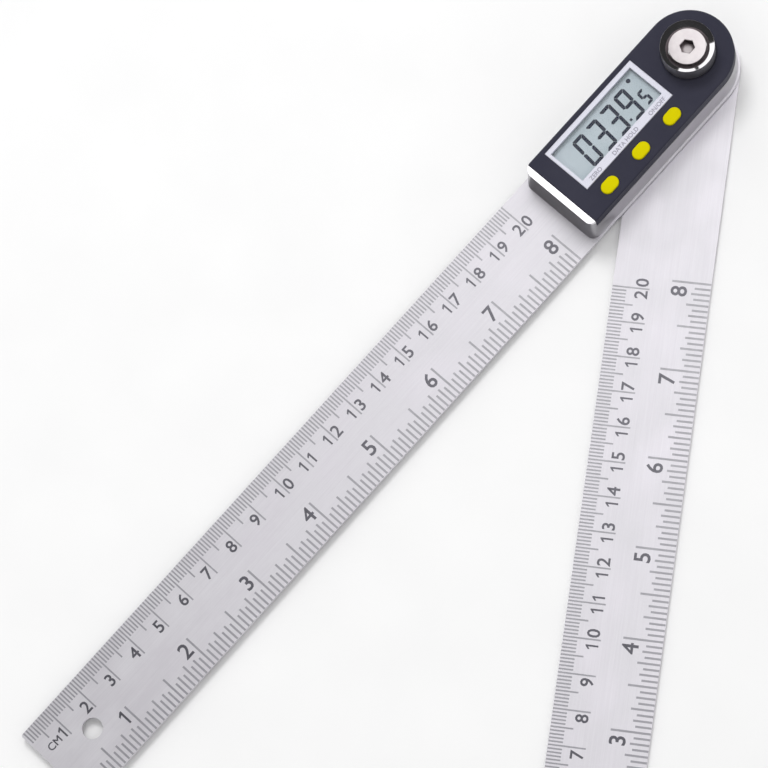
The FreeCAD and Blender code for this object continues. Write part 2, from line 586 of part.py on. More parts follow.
def rule_screw(x, y):
    """Countersunk cross-head screw, driven from the underside."""
    low = UPPER_BOTTOM
    tip = low + RULE_SCREW_LENGTH
    shank_r = BOSS_HOLE_R - SCREW_PLAY
    head_r = RULE_SCREW_HEAD_R - SCREW_PLAY
    neck = low + RULE_SCREW_HEAD_HEIGHT
    profile = [(0, low), (head_r, low), (shank_r, neck), (shank_r, tip), (0, tip)]
    return revolve(profile, x, y).cut(cross_recess(x, y, low))


def cross_recess(x, y, z0):
    along = centred_box(x, y, CROSS_LENGTH, CROSS_WIDTH, z0, z0 + CROSS_DEPTH)
    return along.fuse(centred_box(x, y, CROSS_WIDTH, CROSS_LENGTH, z0, z0 + CROSS_DEPTH))


def board_screws():
    return Part.makeCompound([board_screw(x, y) for x, y in BOSS_PLACES])


def board_screw(x, y):
    """Pan-head screw that holds the main board down on its boss."""
    seat = BOARD_TOP
    top = seat + BOARD_SCREW_HEAD_HEIGHT
    tip = seat - BOARD_SCREW_LENGTH
    shank_r = BOSS_HOLE_R - SCREW_PLAY
    head_r = BOARD_SCREW_HEAD_R
    profile = [(0, tip), (shank_r, tip), (shank_r, seat), (head_r, seat), (head_r, top), (0, top)]
    return revolve(profile, x, y).cut(cross_recess(x, y, top - CROSS_DEPTH))


def battery():
    """Coin cell: the wide can below, the smaller lid above."""
    can_top = BATTERY_TOP - BATTERY_LID_HEIGHT
    can = disc(BATTERY_R, BATTERY_BOTTOM, can_top, BATTERY_X)
    can = can.makeChamfer(BATTERY_EDGE, edges_at_height(can, BATTERY_BOTTOM))
    return can.fuse(disc(BATTERY_R - BATTERY_LID_STEP, can_top, BATTERY_TOP, BATTERY_X)).removeSplitter()


def battery_holder():
    half = CAVITY_HALF - FIT_CLEARANCE
    low = FLOOR_TOP
    wall = disc(BATTERY_BORE_R + HOLDER_WALL, low, low + HOLDER_HEIGHT, BATTERY_X)
    flange = centred_box(BATTERY_X, 0, 2 * HOLDER_HALF_LENGTH, 2 * half, low, low + HOLDER_FLANGE)
    slot_half = CONTACT_WIDTH / 2 + CONTACT_ROOM
    slot = box(BATTERY_X, BATTERY_X + HOLDER_HALF_LENGTH, -slot_half, slot_half, low, low + HOLDER_HEIGHT)
    bore = disc(BATTERY_BORE_R, low, low + HOLDER_HEIGHT, BATTERY_X)
    return wall.fuse(flange).removeSplitter().cut([bore, slot])


def strip(points, y0, width, thickness):
    """A bent metal strip: a line of (x, z) points given a thickness and a width."""
    upper = [V(x, y0, z) for x, z in points]
    lower = [V(x, y0, z - thickness) for x, z in reversed(points)]
    face = Part.Face(Part.makePolygon(upper + lower + upper[:1]))
    return face.extrude(V(0, width, 0))


def battery_spring():
    """Sprung contact from the main board's underside down to the battery's lid."""
    t = SPRING_STRIP
    heights = [BOARD_BOTTOM, BOARD_BOTTOM, BATTERY_TOP + t, BATTERY_TOP + t, BATTERY_TOP + 2 * t]
    points = [(BATTERY_X + run, z) for run, z in zip(SPRING_RUN, heights)]
    return strip(points, -CONTACT_WIDTH / 2, CONTACT_WIDTH, t)


def battery_clip():
    """Side contact, standing in the holder's slot against the battery's can."""
    half = CONTACT_WIDTH / 2
    face = BATTERY_X + BATTERY_R + SCREW_PLAY
    post = box(face, face + CLIP_STRIP, -half, half, FLOOR_TOP + FIT_CLEARANCE, BOARD_BOTTOM)
    foot = box(face, face + CLIP_FOOT, -half, half, BOARD_BOTTOM - CLIP_STRIP, BOARD_BOTTOM)
    return post.fuse(foot).removeSplitter()


def battery_cover():
    """Bayonet cap with two lugs, a coin slot and a groove for its seal."""
    r = BATTERY_HOLE_R - CAP_CLEARANCE
    body = disc(r, CAP_BOTTOM, CAP_TOP, BATTERY_X)
    lug_low = UPPER_TOP + FACE_CLEARANCE
    lugs = [sector(CAP_LUG_R, CAP_LUG_HALF_ANGLE, a, lug_low, lug_low + CAP_LUG_HEIGHT) for a in (0, 180)]
    neck = disc(r, CAP_TOP, lug_low + CAP_LUG_HEIGHT, BATTERY_X)
    hollow = disc(BATTERY_R + FIT_CLEARANCE, CAP_TOP, lug_low + CAP_LUG_HEIGHT, BATTERY_X)
    body = body.fuse([neck] + lugs).removeSplitter().cut(hollow)
    seal_z = UPPER_BOTTOM + RULE_THICKNESS / 2
    groove_r = BATTERY_HOLE_R - SEAL_SQUEEZE - SEAL_SECTION
    groove = ring(BATTERY_HOLE_R, groove_r, seal_z - SEAL_SECTION / 2, seal_z + SEAL_SECTION / 2, BATTERY_X)
    slot = obround(BATTERY_X, 0, COIN_SLOT_LENGTH, COIN_SLOT_WIDTH, CAP_BOTTOM, CAP_BOTTOM + COIN_SLOT_DEPTH)
    return body.cut([groove, slot])


def battery_seal():
    """Square-section rubber ring in the cover's groove."""
    seal_z = UPPER_BOTTOM + RULE_THICKNESS / 2
    outer = BATTERY_HOLE_R - SEAL_SQUEEZE
    return ring(outer, outer - SEAL_SECTION, seal_z - SEAL_SECTION / 2, seal_z + SEAL_SECTION / 2, BATTERY_X)


def clamp_washer():
    top = WASHER_BOTTOM + CLAMP_WASHER_THICKNESS
    return ring(CLAMP_WASHER_R, SCREW_SHANK_R + FIT_CLEARANCE, WASHER_BOTTOM, top)


def lock_knob():
    """Turned cup: plain skirt, narrow rim, conical dish down to the screw's seat."""
    rim_in = KNOB_R - KNOB_RIM_WIDTH
    rim_low = KNOB_RIM - KNOB_RIM_CHAMFER
    seat_r = SCREW_HEAD_R + FIT_CLEARANCE
    dish_low = KNOB_RIM - KNOB_DISH_DEPTH
    under_r = CLAMP_WASHER_R + KNOB_WASHER_ROOM
    shank = SCREW_SHANK_R + RUNNING_CLEARANCE
    return revolve([
        (shank, CLAMP_FACE), (under_r, CLAMP_FACE), (under_r, KNOB_BOTTOM), (KNOB_R, KNOB_BOTTOM),
        (KNOB_R, rim_low), (KNOB_R - KNOB_RIM_CHAMFER, KNOB_RIM), (rim_in, KNOB_RIM), (seat_r, dish_low),
        (seat_r, SCREW_SEAT), (shank, SCREW_SEAT),
    ])


def knob_screw():
    """Flat-head socket screw: its core runs in the hub's threaded hole."""
    core_r = HUB_THREAD_R - RUNNING_CLEARANCE
    tip = HUB_THREAD_FLOOR + SCREW_CORE_ROOM
    shoulder = HUB_TOP + SCREW_SHOULDER_GAP
    screw = revolve([
        (0, tip), (core_r, tip), (core_r, shoulder), (SCREW_SHANK_R, shoulder),
        (SCREW_SHANK_R, SCREW_SEAT), (SCREW_HEAD_R, SCREW_SEAT), (SCREW_HEAD_R, SCREW_HEAD_TOP - SCREW_EDGE_DROP),
        (SCREW_HEAD_R - SCREW_EDGE_WIDTH, SCREW_HEAD_TOP), (0, SCREW_HEAD_TOP),
    ])
    corner_r = SCREW_SOCKET_AF / math.sqrt(3)
    corners = [V(corner_r * math.cos(math.radians(60 * k)), corner_r * math.sin(math.radians(60 * k)),
                 SCREW_HEAD_TOP - SCREW_SOCKET_DEPTH) for k in range(6)]
    socket = Part.Face(Part.makePolygon(corners + corners[:1])).extrude(V(0, 0, SCREW_SOCKET_DEPTH))
    return screw.cut(socket)


def turned_to_rest(shape):
    """Turns a piece of the lower rule's body from under the upper rule to the opening angle."""
    shape.rotate(V(0, 0, 0), V(0, 0, 1), OPENING_ANGLE)
    return shape


def build_nodes():
    nodes = {
        "upper_rule": upper_rule(),
        "case_frame": case_frame(),
        "front_cover": front_cover(),
        "lcd_bezel": lcd_bezel(),
        "display_window": display_window(),
        "lcd_panel": lcd_panel(),
        "zebra_strip_upper": zebra_strip(1),
        "zebra_strip_lower": zebra_strip(-1),
        "main_board": main_board(),
        "controller_chip": controller_chip(),
        "encoder_link": encoder_link(),
        "stator_board": stator_board(),
        "pivot_bush": pivot_bush(),
        "thrust_washer": thrust_washer(),
        "slip_washer": slip_washer(),
        "pivot_sleeve": pivot_sleeve(),
        "battery_holder": battery_holder(),
        "battery": battery(),
        "battery_spring": battery_spring(),
        "battery_clip": battery_clip(),
        "rule_screws": rule_screws(),
        "board_screws": board_screws(),
        "lower_rule": turned_to_rest(lower_rule()),
        "pivot_hub": turned_to_rest(pivot_hub()),
        "rotor_carrier": turned_to_rest(rotor_carrier()),
        "rotor_board": turned_to_rest(rotor_board()),
        "rotor_clip": turned_to_rest(rotor_clip()),
        "clamp_washer": clamp_washer(),
        "lock_knob": lock_knob(),
        "knob_screw": knob_screw(),
        "battery_cover": battery_cover(),
        "battery_seal": battery_seal(),
    }
    for name, x in zip(BUTTON_NAMES, button_places()):
        nodes[name + "_switch"] = push_switch(x)
        nodes[name + "_button"] = button(x)
    return nodes


def main():
    os.makedirs("parts", exist_ok=True)
    for name, shape in build_nodes().items():
        solids = shape.Solids
        print("%-18s solids %d valid %s volume %9.2f" % (name, len(solids), shape.isValid(), shape.Volume))
        shape.exportStep(os.path.join("parts", name + ".step"))


main()
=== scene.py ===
"""Looks of the digital protractor: finishes, graduations, display characters, studio and camera."""

import json
import math

import bmesh
import bpy
from mathutils import Matrix, Vector


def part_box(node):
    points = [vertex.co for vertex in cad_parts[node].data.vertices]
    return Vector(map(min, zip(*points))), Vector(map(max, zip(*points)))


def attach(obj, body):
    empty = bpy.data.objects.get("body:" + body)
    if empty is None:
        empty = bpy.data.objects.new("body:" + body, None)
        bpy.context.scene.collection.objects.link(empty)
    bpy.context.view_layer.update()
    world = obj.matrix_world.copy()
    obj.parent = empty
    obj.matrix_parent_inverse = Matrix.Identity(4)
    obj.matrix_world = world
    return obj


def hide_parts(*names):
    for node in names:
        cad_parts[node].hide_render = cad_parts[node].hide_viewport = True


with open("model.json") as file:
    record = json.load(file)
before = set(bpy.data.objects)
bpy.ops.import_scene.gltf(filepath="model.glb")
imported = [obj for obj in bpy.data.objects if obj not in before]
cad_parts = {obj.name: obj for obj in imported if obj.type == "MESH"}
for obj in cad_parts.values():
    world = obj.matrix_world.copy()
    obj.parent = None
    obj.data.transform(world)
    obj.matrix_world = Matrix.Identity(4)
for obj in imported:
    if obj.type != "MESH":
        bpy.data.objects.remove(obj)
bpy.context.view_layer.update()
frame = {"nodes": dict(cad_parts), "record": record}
MM = 0.001
INCH = 25.4


# Sizes of what is printed and etched, in millimetres

RULE_LENGTH = 265.5            # pivot axis to the zero end
EDGE_Y = 13.75                 # long edges, each side of the rule's middle
EDGE_MARGIN = 0.05             # the etched lines stop this far inside the edge
UPPER_FACE_Z = 2.7
LOWER_FACE_Z = 1.2
INK_HEIGHT = 0.02              # etched oxide, drawn as a thin raised film

SCALE_CM = 20
METRIC_STEPS = [5, 5, 10, 10]            # every 5th and 10th millimetre is longer
METRIC_LENGTHS = [4.0, 6.3, 6.3, 10.4, 10.4]
METRIC_LINE = 0.45
CM_FIGURE_HEIGHT = 3.55
CM_FIGURE_Y = 5.5
CM_SINGLE_SHIFT = -1.9         # a single figure stands before its line
CM_FIRST_SHIFT = -1.2
CM_PAIR_SHIFTS = [-1.75, 1.75]  # two figures stand either side of their line
CM_WORD_X = -260.6
CM_WORD_HEIGHT = 2.2
CM_WORD_Y = 5.1
CM_WORD_WEIGHT = 0.022

SCALE_INCHES = 8
INCH_PARTS = 16
INCH_STEPS = [2, 4, 8, 16]               # eighths, quarters, halves and whole inches
INCH_LENGTHS = [4.5, 5.3, 6.3, 8.0, 11.0]
INCH_LINE = 0.6
INCH_FIGURE_HEIGHT = 4.45
INCH_FIGURE_Y = -4.9
INCH_FIGURE_SHIFT = -2.75
INCH_FIRST_SHIFT = -2.0
FIGURE_WEIGHT = 0.022          # widens the strokes, as a share of the figure's height
ONE_STROKE = 0.145             # bar of the figure 1, as a share of its height

DISPLAY_Z = 13.3               # top of the liquid crystal glass
DISPLAY_INK = 0.015
DIGIT_TOP = 7.95
DIGIT_BOTTOM = -1.75
DIGIT_WIDTH = 4.3
DIGIT_STROKE = 1.05
DIGIT_CORNER = 0.6             # outer corners are cut by this share of the bar's width
DIGIT_GAP = 0.035              # clear line between neighbouring segments
DIGIT_SLANT = 0.09             # sideways lean for each millimetre of height
DIGIT_RIGHTS = [-36.35, -30.7, -25.0, -19.1]    # right edge of each digit's top bar
SMALL_DIGIT = [-15.6, 3.7, -1.15, 2.5, 0.8]    # right, top, bottom, width, stroke
POINT_AT = [-24.6, -0.2, 0.5, 4]               # decimal point: x, y, half width, corners
DEGREE_AT = [-16.65, 8.0, 0.7, 12]

WINDOW_BOTTOM = 13.33          # leaves room for the characters on the glass
WINDOW_EASING = 0.08
LABEL_Z = 15.15
LABEL_HEIGHT = 1.25
LABEL_Y = -3.62
LABEL_WEIGHT = 0.02
LABELS = {"ZERO": -43.0, "DATA HOLD": -30.6, "ON/OFF": -17.4}

# Turned knob, its screw and the keys, in millimetres; outer sizes come from the frame
FINE_SIDES = 144               # round pieces seen close up
DISH_DEPTH = 1.3
HEX_ACROSS = 3.75
HEX_DEPTH = 2.4
HEAD_HEIGHT = 3.3
HEAD_SUNK = 1.3                # the head is drawn this much lower, almost level with the rim
HEX_CHAMFER = 0.12
SHANK_R = 2.9
SHANK_START = 15.0             # height at which the shank begins, above the screw's thread
THREAD_R = 2.45                # the thread, drawn as a plain core
THREAD_END = 14.6
BORE_ROOM = 0.05               # round the shank in the knob
POCKET_ROOM = 0.1              # round the screw's head in the dish
DISH_EASING = 0.08
SCREW_EASING = 0.12            # easing of the head's and the skirt's edges
SCREW_SEAT_EASING = 0.1
SHARP_FROM = 28                # degrees between faces, from which an edge stays sharp
WASHER_POCKET_R = 6.6
WASHER_POCKET_TOP = 15.88
KEY_LENGTH = 5.7
KEY_SIDES = 96
KEY_ROUND = 0.45               # easing of the key's top edge
KEY_ROUND_STEPS = 6
KEY_FLANGE_HEIGHT = 0.75
KEY_FLANGE_TOP = 13.36
KEY_STEM_R = 1.3

# The case's end: cast below, milled smoother on its bevel, where its colour is also painted lighter as a
# highlight
CAST_ROUGH = 0.3
MILLED_ROUGH = 0.08
MILLED_FROM = 13.2

# Bars lit for each figure, in the order top, upper right, lower right, bottom, lower left, upper left, middle
SEGMENTS = {"0": "1111110", "3": "1111001", "5": "1011011", "9": "1111011"}


# Colours, nodes and materials

def linear(code):
    """Linear RGBA of an sRGB hex colour."""
    values = [int(code[i:i + 2], 16) / 255 for i in (1, 3, 5)]
    return [v / 12.92 if v <= 0.04045 else ((v + 0.055) / 1.055) ** 2.4 for v in values] + [1.0]


def add(tree, kind, settings=None, values=None, links=None):
    """Adds one node with its settings, its socket values and its links, and returns it."""
    node = tree.nodes.new(kind)
    for name, value in (settings or {}).items():
        setattr(node, name, value)
    for name, value in (values or {}).items():
        node.inputs[name].default_value = value
    for name, source in (links or {}).items():
        tree.links.new(source, node.inputs[name])
    return node


def start_material(name, code, roughness, metallic=0.0, **sockets):
    """A material with one shader. Returns the material, its tree, the shader and the object's coordinates."""
    material = bpy.data.materials.new(name)
    material.use_nodes = True
    tree = material.node_tree
    tree.nodes.clear()
    values = {"Base Color": linear(code), "Roughness": roughness, "Metallic": metallic}
    values.update({key.replace("_", " "): value for key, value in sockets.items()})
    shader = add(tree, "ShaderNodeBsdfPrincipled", values=values)
    add(tree, "ShaderNodeOutputMaterial", links={"Surface": shader.outputs[0]})
    place = add(tree, "ShaderNodeTexCoord").outputs["Object"]
    return material, tree, shader, place


def grain(tree, place, size, along=1.0, turn=0.0, detail=3.0):
    """A random pattern whose spots are size mm wide and along times as long, turned about the vertical."""
    turned = add(tree, "ShaderNodeMapping", values={"Rotation": (0, 0, -turn)}, links={"Vector": place})
    scaled = add(tree, "ShaderNodeMapping", values={"Scale": (1 / along, 1, 1)},
                 links={"Vector": turned.outputs[0]})
    return add(tree, "ShaderNodeTexNoise", values={"Scale": 1 / (size * MM), "Detail": detail},
               links={"Vector": scaled.outputs[0]}).outputs["Fac"]


def turning_marks(tree, place, pitch, centre=(0, 0)):
    """Fine rings round a vertical axis, as a lathe tool leaves, pitch mm apart."""
    centred = add(tree, "ShaderNodeMapping", values={"Location": (-centre[0] * MM, -centre[1] * MM, 0),
                                                    "Scale": (1, 1, 0)}, links={"Vector": place})
    return add(tree, "ShaderNodeTexWave", {"wave_type": "RINGS", "rings_direction": "Z"},
               {"Scale": 1 / (pitch * MM) / 20, "Distortion": 1.2, "Detail": 2.0, "Detail Scale": 3.0},
               {"Vector": centred.outputs[0]}).outputs["Fac"]


def tint(tree, shader, pattern, dark, light, low=0.3, high=0.7):
    """Colours the surface between two tones by a pattern."""
    ramp = add(tree, "ShaderNodeValToRGB", links={"Fac": pattern})
    for stop, (position, code) in zip(ramp.color_ramp.elements, ((low, dark), (high, light))):
        stop.position = position
        stop.color = linear(code)
    tree.links.new(ramp.outputs["Color"], shader.inputs["Base Color"])
    return ramp


def vary_gloss(tree, shader, pattern, smooth, rough):
    """Lets the roughness run between two values by a pattern."""
    spread = add(tree, "ShaderNodeMapRange", values={"From Min": 0.3, "From Max": 0.7, "To Min": smooth,
                                                    "To Max": rough}, links={"Value": pattern})
    tree.links.new(spread.outputs[0], shader.inputs["Roughness"])


def emboss(tree, shader, pattern, depth, strength=1.0):
    """Raises the surface by a pattern, depth mm deep."""
    bump = add(tree, "ShaderNodeBump", values={"Distance": depth * MM, "Strength": strength},
               links={"Height": pattern})
    tree.links.new(bump.outputs[0], shader.inputs["Normal"])


def brushed_stainless(name, turn):
    """Stainless steel strip, belt brushed lengthwise: pale grey satin with fine streaks and soft clouds."""
    material, tree, shader, place = start_material(name, "#dad8dd", 0.42, metallic=1.0)
    streaks = grain(tree, place, 0.35, along=40, turn=turn)     # belt marks are finer, drawn a pixel wide
    clouds = grain(tree, place, 9, along=1.6, turn=turn, detail=5)
    both = add(tree, "ShaderNodeMath", {"operation": "MULTIPLY_ADD"}, {1: 0.25},
               {0: streaks})
    rest = add(tree, "ShaderNodeMath", {"operation": "MULTIPLY"}, {1: 0.75}, {0: clouds})
    tree.links.new(rest.outputs[0], both.inputs[2])
    tint(tree, shader, both.outputs[0], "#d3d0d6", "#e1dfe4", 0.35, 0.65)
    vary_gloss(tree, shader, clouds, 0.36, 0.48)
    emboss(tree, shader, streaks, 0.0025, 0.3)
    return material


def from_pivot_axis(tree, place):
    """How far a point is from the upright axis that the knob turns on."""
    flat = add(tree, "ShaderNodeVectorMath", {"operation": "MULTIPLY"}, {1: (1, 1, 0)}, {0: place})
    return add(tree, "ShaderNodeVectorMath", {"operation": "LENGTH"}, links={0: flat.outputs[0]}).outputs["Value"]


def chromed_knob(radius):
    """Turned and chromed brass: the dish a mirror, the skirt beyond the radius in mm left satin for grip."""
    material, tree, shader, place = start_material("brass_turned_chromed", "#d6d4d6", 0.1, metallic=1.0)
    reach = from_pivot_axis(tree, place)
    skirt = add(tree, "ShaderNodeMapRange", links={"Value": reach},
                values={"From Min": (radius - 0.06) * MM, "From Max": (radius - 0.02) * MM}).outputs[0]
    wipes = grain(tree, place, 1.6, along=4, detail=4)
    tint(tree, shader, wipes, "#cfcdcf", "#dddcdf", 0.2, 0.9)
    gloss = add(tree, "ShaderNodeMapRange", values={"To Min": 0.07, "To Max": 0.34}, links={"Value": skirt})
    spread = add(tree, "ShaderNodeMath", {"operation": "MULTIPLY_ADD"}, {1: 0.04},
                 {0: wipes, 2: gloss.outputs[0]})
    tree.links.new(spread.outputs[0], shader.inputs["Roughness"])
    emboss(tree, shader, grain(tree, place, 3.0, detail=2), 0.008, 0.2)
    return material


def satin_disc(radius, top):
    """Turned steel, satin nickel plated: a soft silky face, with painted shade darkening the head's side and the
    walls of its socket.
    """
    material, tree, shader, place = start_material("steel_satin_nickel", "#ccc6c7", 0.4, metallic=1.0)
    reach = from_pivot_axis(tree, place)
    level = add(tree, "ShaderNodeSeparateXYZ", links={"Vector": place}).outputs["Z"]
    # Masks for painted shade: the head's side, and the socket below 0.3 mm deep, its walls fully and its floor
    # less.
    side = add(tree, "ShaderNodeMapRange", links={"Value": reach},
               values={"From Min": (radius - 0.12) * MM, "From Max": (radius - 0.04) * MM}).outputs[0]
    socket = add(tree, "ShaderNodeMapRange", links={"Value": level},
                 values={"From Min": (top - 0.3) * MM, "From Max": (top - 0.8) * MM}).outputs[0]
    walls = add(tree, "ShaderNodeMapRange", links={"Value": reach},
                values={"From Min": 0.9 * MM, "From Max": 1.5 * MM, "To Min": 0.4}).outputs[0]
    inside = add(tree, "ShaderNodeMath", {"operation": "MULTIPLY"}, links={0: socket, 1: walls}).outputs[0]
    dark = add(tree, "ShaderNodeMath", {"operation": "MAXIMUM"}, links={0: side, 1: inside}).outputs[0]
    rings = turning_marks(tree, place, 0.16)
    clouds = grain(tree, place, 2.2, detail=4)
    ramp = tint(tree, shader, clouds, "#d2cbcd", "#ded8d9")
    # Painted shade: where the masks reach, the colour is mixed towards dark grey #7a7173.
    painted_shade_mix = add(tree, "ShaderNodeMix", {"data_type": "RGBA"}, {"B": linear("#7a7173")},
                {"Factor": dark, "A": ramp.outputs["Color"]})
    tree.links.new(painted_shade_mix.outputs["Result"], shader.inputs["Base Color"])
    gloss = add(tree, "ShaderNodeMath", {"operation": "MULTIPLY_ADD"}, {1: 0.05, 2: 0.4}, {0: clouds})
    tree.links.new(gloss.outputs[0], shader.inputs["Roughness"])
    emboss(tree, shader, rings, 0.002, 0.2)
    return material


def cast_and_milled(name, cast, milled_highlight_colour, height):
    """Plated zinc casting: soft satin as cast, and mirror smooth where it is milled, above the height in mm,
    where its colour is also painted lighter as a highlight.
    """
    material, tree, shader, place = start_material(name, cast, CAST_ROUGH, metallic=1.0)
    pores = grain(tree, place, 0.8, detail=3)
    clouds = grain(tree, place, 5, detail=3)
    level = add(tree, "ShaderNodeSeparateXYZ", links={"Vector": place}).outputs["Z"]
    # Painted highlight: above the height the colour turns lighter, together with the real smoother milled finish.
    milled_and_highlit = add(tree, "ShaderNodeMapRange", links={"Value": level},
                 values={"From Min": (height - 0.04) * MM, "From Max": (height + 0.04) * MM}).outputs[0]
    mixed = add(tree, "ShaderNodeMath", {"operation": "MULTIPLY_ADD"}, {1: 0.15}, {0: clouds, 2: milled_and_highlit})
    tint(tree, shader, mixed.outputs[0], cast, milled_highlight_colour, 0.0, 1.0)
    gloss = add(tree, "ShaderNodeMapRange", values={"To Min": CAST_ROUGH, "To Max": MILLED_ROUGH},
                links={"Value": milled_and_highlit})
    tree.links.new(gloss.outputs[0], shader.inputs["Roughness"])
    emboss(tree, shader, pores, 0.004, 0.3)
    return material


def turned_plate(name, dark, light, pitch, smooth, rough, centre=(0, 0)):
    """Turned metal: rings of the lathe tool catch the light round the axis."""
    material, tree, shader, place = start_material(name, light, rough, metallic=1.0)
    rings = turning_marks(tree, place, pitch, centre)
    clouds = grain(tree, place, 2.2, detail=4)
    tint(tree, shader, clouds, dark, light)
    vary_gloss(tree, shader, rings, smooth, rough)
    emboss(tree, shader, rings, 0.006, 0.35)
    return material


def moulded_plastic(name, dark, light, texture, rough, depth=0.02, **sockets):
    """Injection moulded plastic: the spark eroded tool leaves a fine even pebble with soft sheen."""
    material, tree, shader, place = start_material(name, light, rough[1], **sockets)
    pebbles = grain(tree, place, texture, detail=2)
    flow = grain(tree, place, 9, detail=3)
    tint(tree, shader, flow, dark, light)
    vary_gloss(tree, shader, pebbles, *rough)
    emboss(tree, shader, pebbles, depth, 0.4)
    return material


def silver_lacquer():
    """ABS sprayed with silver lacquer: pale lilac grey with a fine flake that sparkles slightly."""
    material, tree, shader, place = start_material("abs_silver_lacquered", "#dad8e6", 0.34,
                                                   metallic=0.25, Coat_Weight=0.3, Coat_Roughness=0.2)
    flakes = grain(tree, place, 0.12, detail=1)
    tint(tree, shader, flakes, "#c8c8d4", "#dedeea")
    vary_gloss(tree, shader, flakes, 0.28, 0.42)
    emboss(tree, shader, flakes, 0.002, 0.3)
    return material


def clear_acrylic():
    """Cast acrylic pane with a hard coat: nearly unseen, with one faint reflection of the studio."""
    material = bpy.data.materials.new("acrylic_clear_cast")
    material.use_nodes = True
    tree = material.node_tree
    tree.nodes.clear()
    place = add(tree, "ShaderNodeTexCoord").outputs["Object"]
    haze = grain(tree, place, 3, detail=3)
    rough = add(tree, "ShaderNodeMapRange", values={"To Min": 0.02, "To Max": 0.06}, links={"Value": haze})
    through = add(tree, "ShaderNodeBsdfTransparent", values={"Color": linear("#fdfefe")})
    gloss = add(tree, "ShaderNodeBsdfAnisotropic", values={"Color": linear("#ffffff")},
                links={"Roughness": rough.outputs[0]})
    share = add(tree, "ShaderNodeFresnel", values={"IOR": 1.49})
    coated = add(tree, "ShaderNodeMath", {"operation": "MULTIPLY"}, {1: 0.35}, {0: share.outputs[0]})
    mixed = add(tree, "ShaderNodeMixShader", links={0: coated.outputs[0], 1: through.outputs[0],
                                                    2: gloss.outputs[0]})
    add(tree, "ShaderNodeOutputMaterial", links={"Surface": mixed.outputs[0]})
    return material


def crystal_glass():
    """Reflective liquid crystal cell: grey green, with the soft silky grain of its rear foil."""
    material, tree, shader, place = start_material("lcd_glass_reflective", "#bfc8cf", 0.4,
                                                   Specular_IOR_Level=0.2)
    foil = grain(tree, place, 0.3, detail=2)
    clouds = grain(tree, place, 12, detail=2)
    mixed = add(tree, "ShaderNodeMath", {"operation": "MULTIPLY_ADD"}, {1: 0.4}, {0: foil})
    part = add(tree, "ShaderNodeMath", {"operation": "MULTIPLY"}, {1: 0.6}, {0: clouds})
    tree.links.new(part.outputs[0], mixed.inputs[2])
    tint(tree, shader, mixed.outputs[0], "#b9c3ca", "#c5cdd4", 0.4, 0.6)
    vary_gloss(tree, shader, foil, 0.35, 0.5)
    return material


def etched_oxide(name, dark, light, pivot_tone, metallic):
    """Steel etched and blackened: dull grey with some metal sheen, paler towards the pivot end."""
    material, tree, shader, place = start_material(name, light, 0.5, metallic=metallic,
                                                   Specular_IOR_Level=0.2)
    wear = grain(tree, place, 1.8, detail=5)
    ramp = tint(tree, shader, wear, dark, light, 0.3, 0.75)
    # Paler colour towards the pivot: full within 70 mm of it, fading out by 250 mm.
    reach = add(tree, "ShaderNodeVectorMath", {"operation": "LENGTH"}, links={0: place}).outputs["Value"]
    near_pivot = add(tree, "ShaderNodeMapRange", {"interpolation_type": "SMOOTHSTEP"},
                  {"From Min": 250 * MM, "From Max": 70 * MM}, {"Value": reach}).outputs[0]
    towards_pivot = add(tree, "ShaderNodeMix", {"data_type": "RGBA"}, {"B": linear(pivot_tone)},
               {"Factor": near_pivot, "A": ramp.outputs["Color"]})
    tree.links.new(towards_pivot.outputs["Result"], shader.inputs["Base Color"])
    vary_gloss(tree, shader, wear, 0.42, 0.56)
    return material


def dull_ink(name, dark, light):
    """Screen printed or display ink: flat and dull, a little uneven in its depth."""
    material, tree, shader, place = start_material(name, light, 0.7, Specular_IOR_Level=0.2)
    wear = grain(tree, place, 1.8, detail=5)
    tint(tree, shader, wear, dark, light, 0.3, 0.75)
    vary_gloss(tree, shader, wear, 0.6, 0.8)
    return material


def circuit_laminate():
    """Glass fibre board under green solder mask: semi gloss, the weave just showing through."""
    material, tree, shader, place = start_material("glass_fibre_laminate_masked", "#1c6a38", 0.4)
    weave = add(tree, "ShaderNodeTexChecker", values={"Scale": 1 / (0.5 * MM)}, links={"Vector": place})
    clouds = grain(tree, place, 4, detail=2)
    tint(tree, shader, clouds, "#174f2b", "#237a42")
    vary_gloss(tree, shader, clouds, 0.3, 0.5)
    emboss(tree, shader, weave.outputs["Fac"], 0.005, 0.3)
    return material


KNOB_RADIUS = (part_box("lock_knob")[1].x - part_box("lock_knob")[0].x) / 2 / MM
SCREW_RADIUS = (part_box("knob_screw")[1].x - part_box("knob_screw")[0].x) / 2 / MM
SCREW_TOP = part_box("knob_screw")[1].z / MM

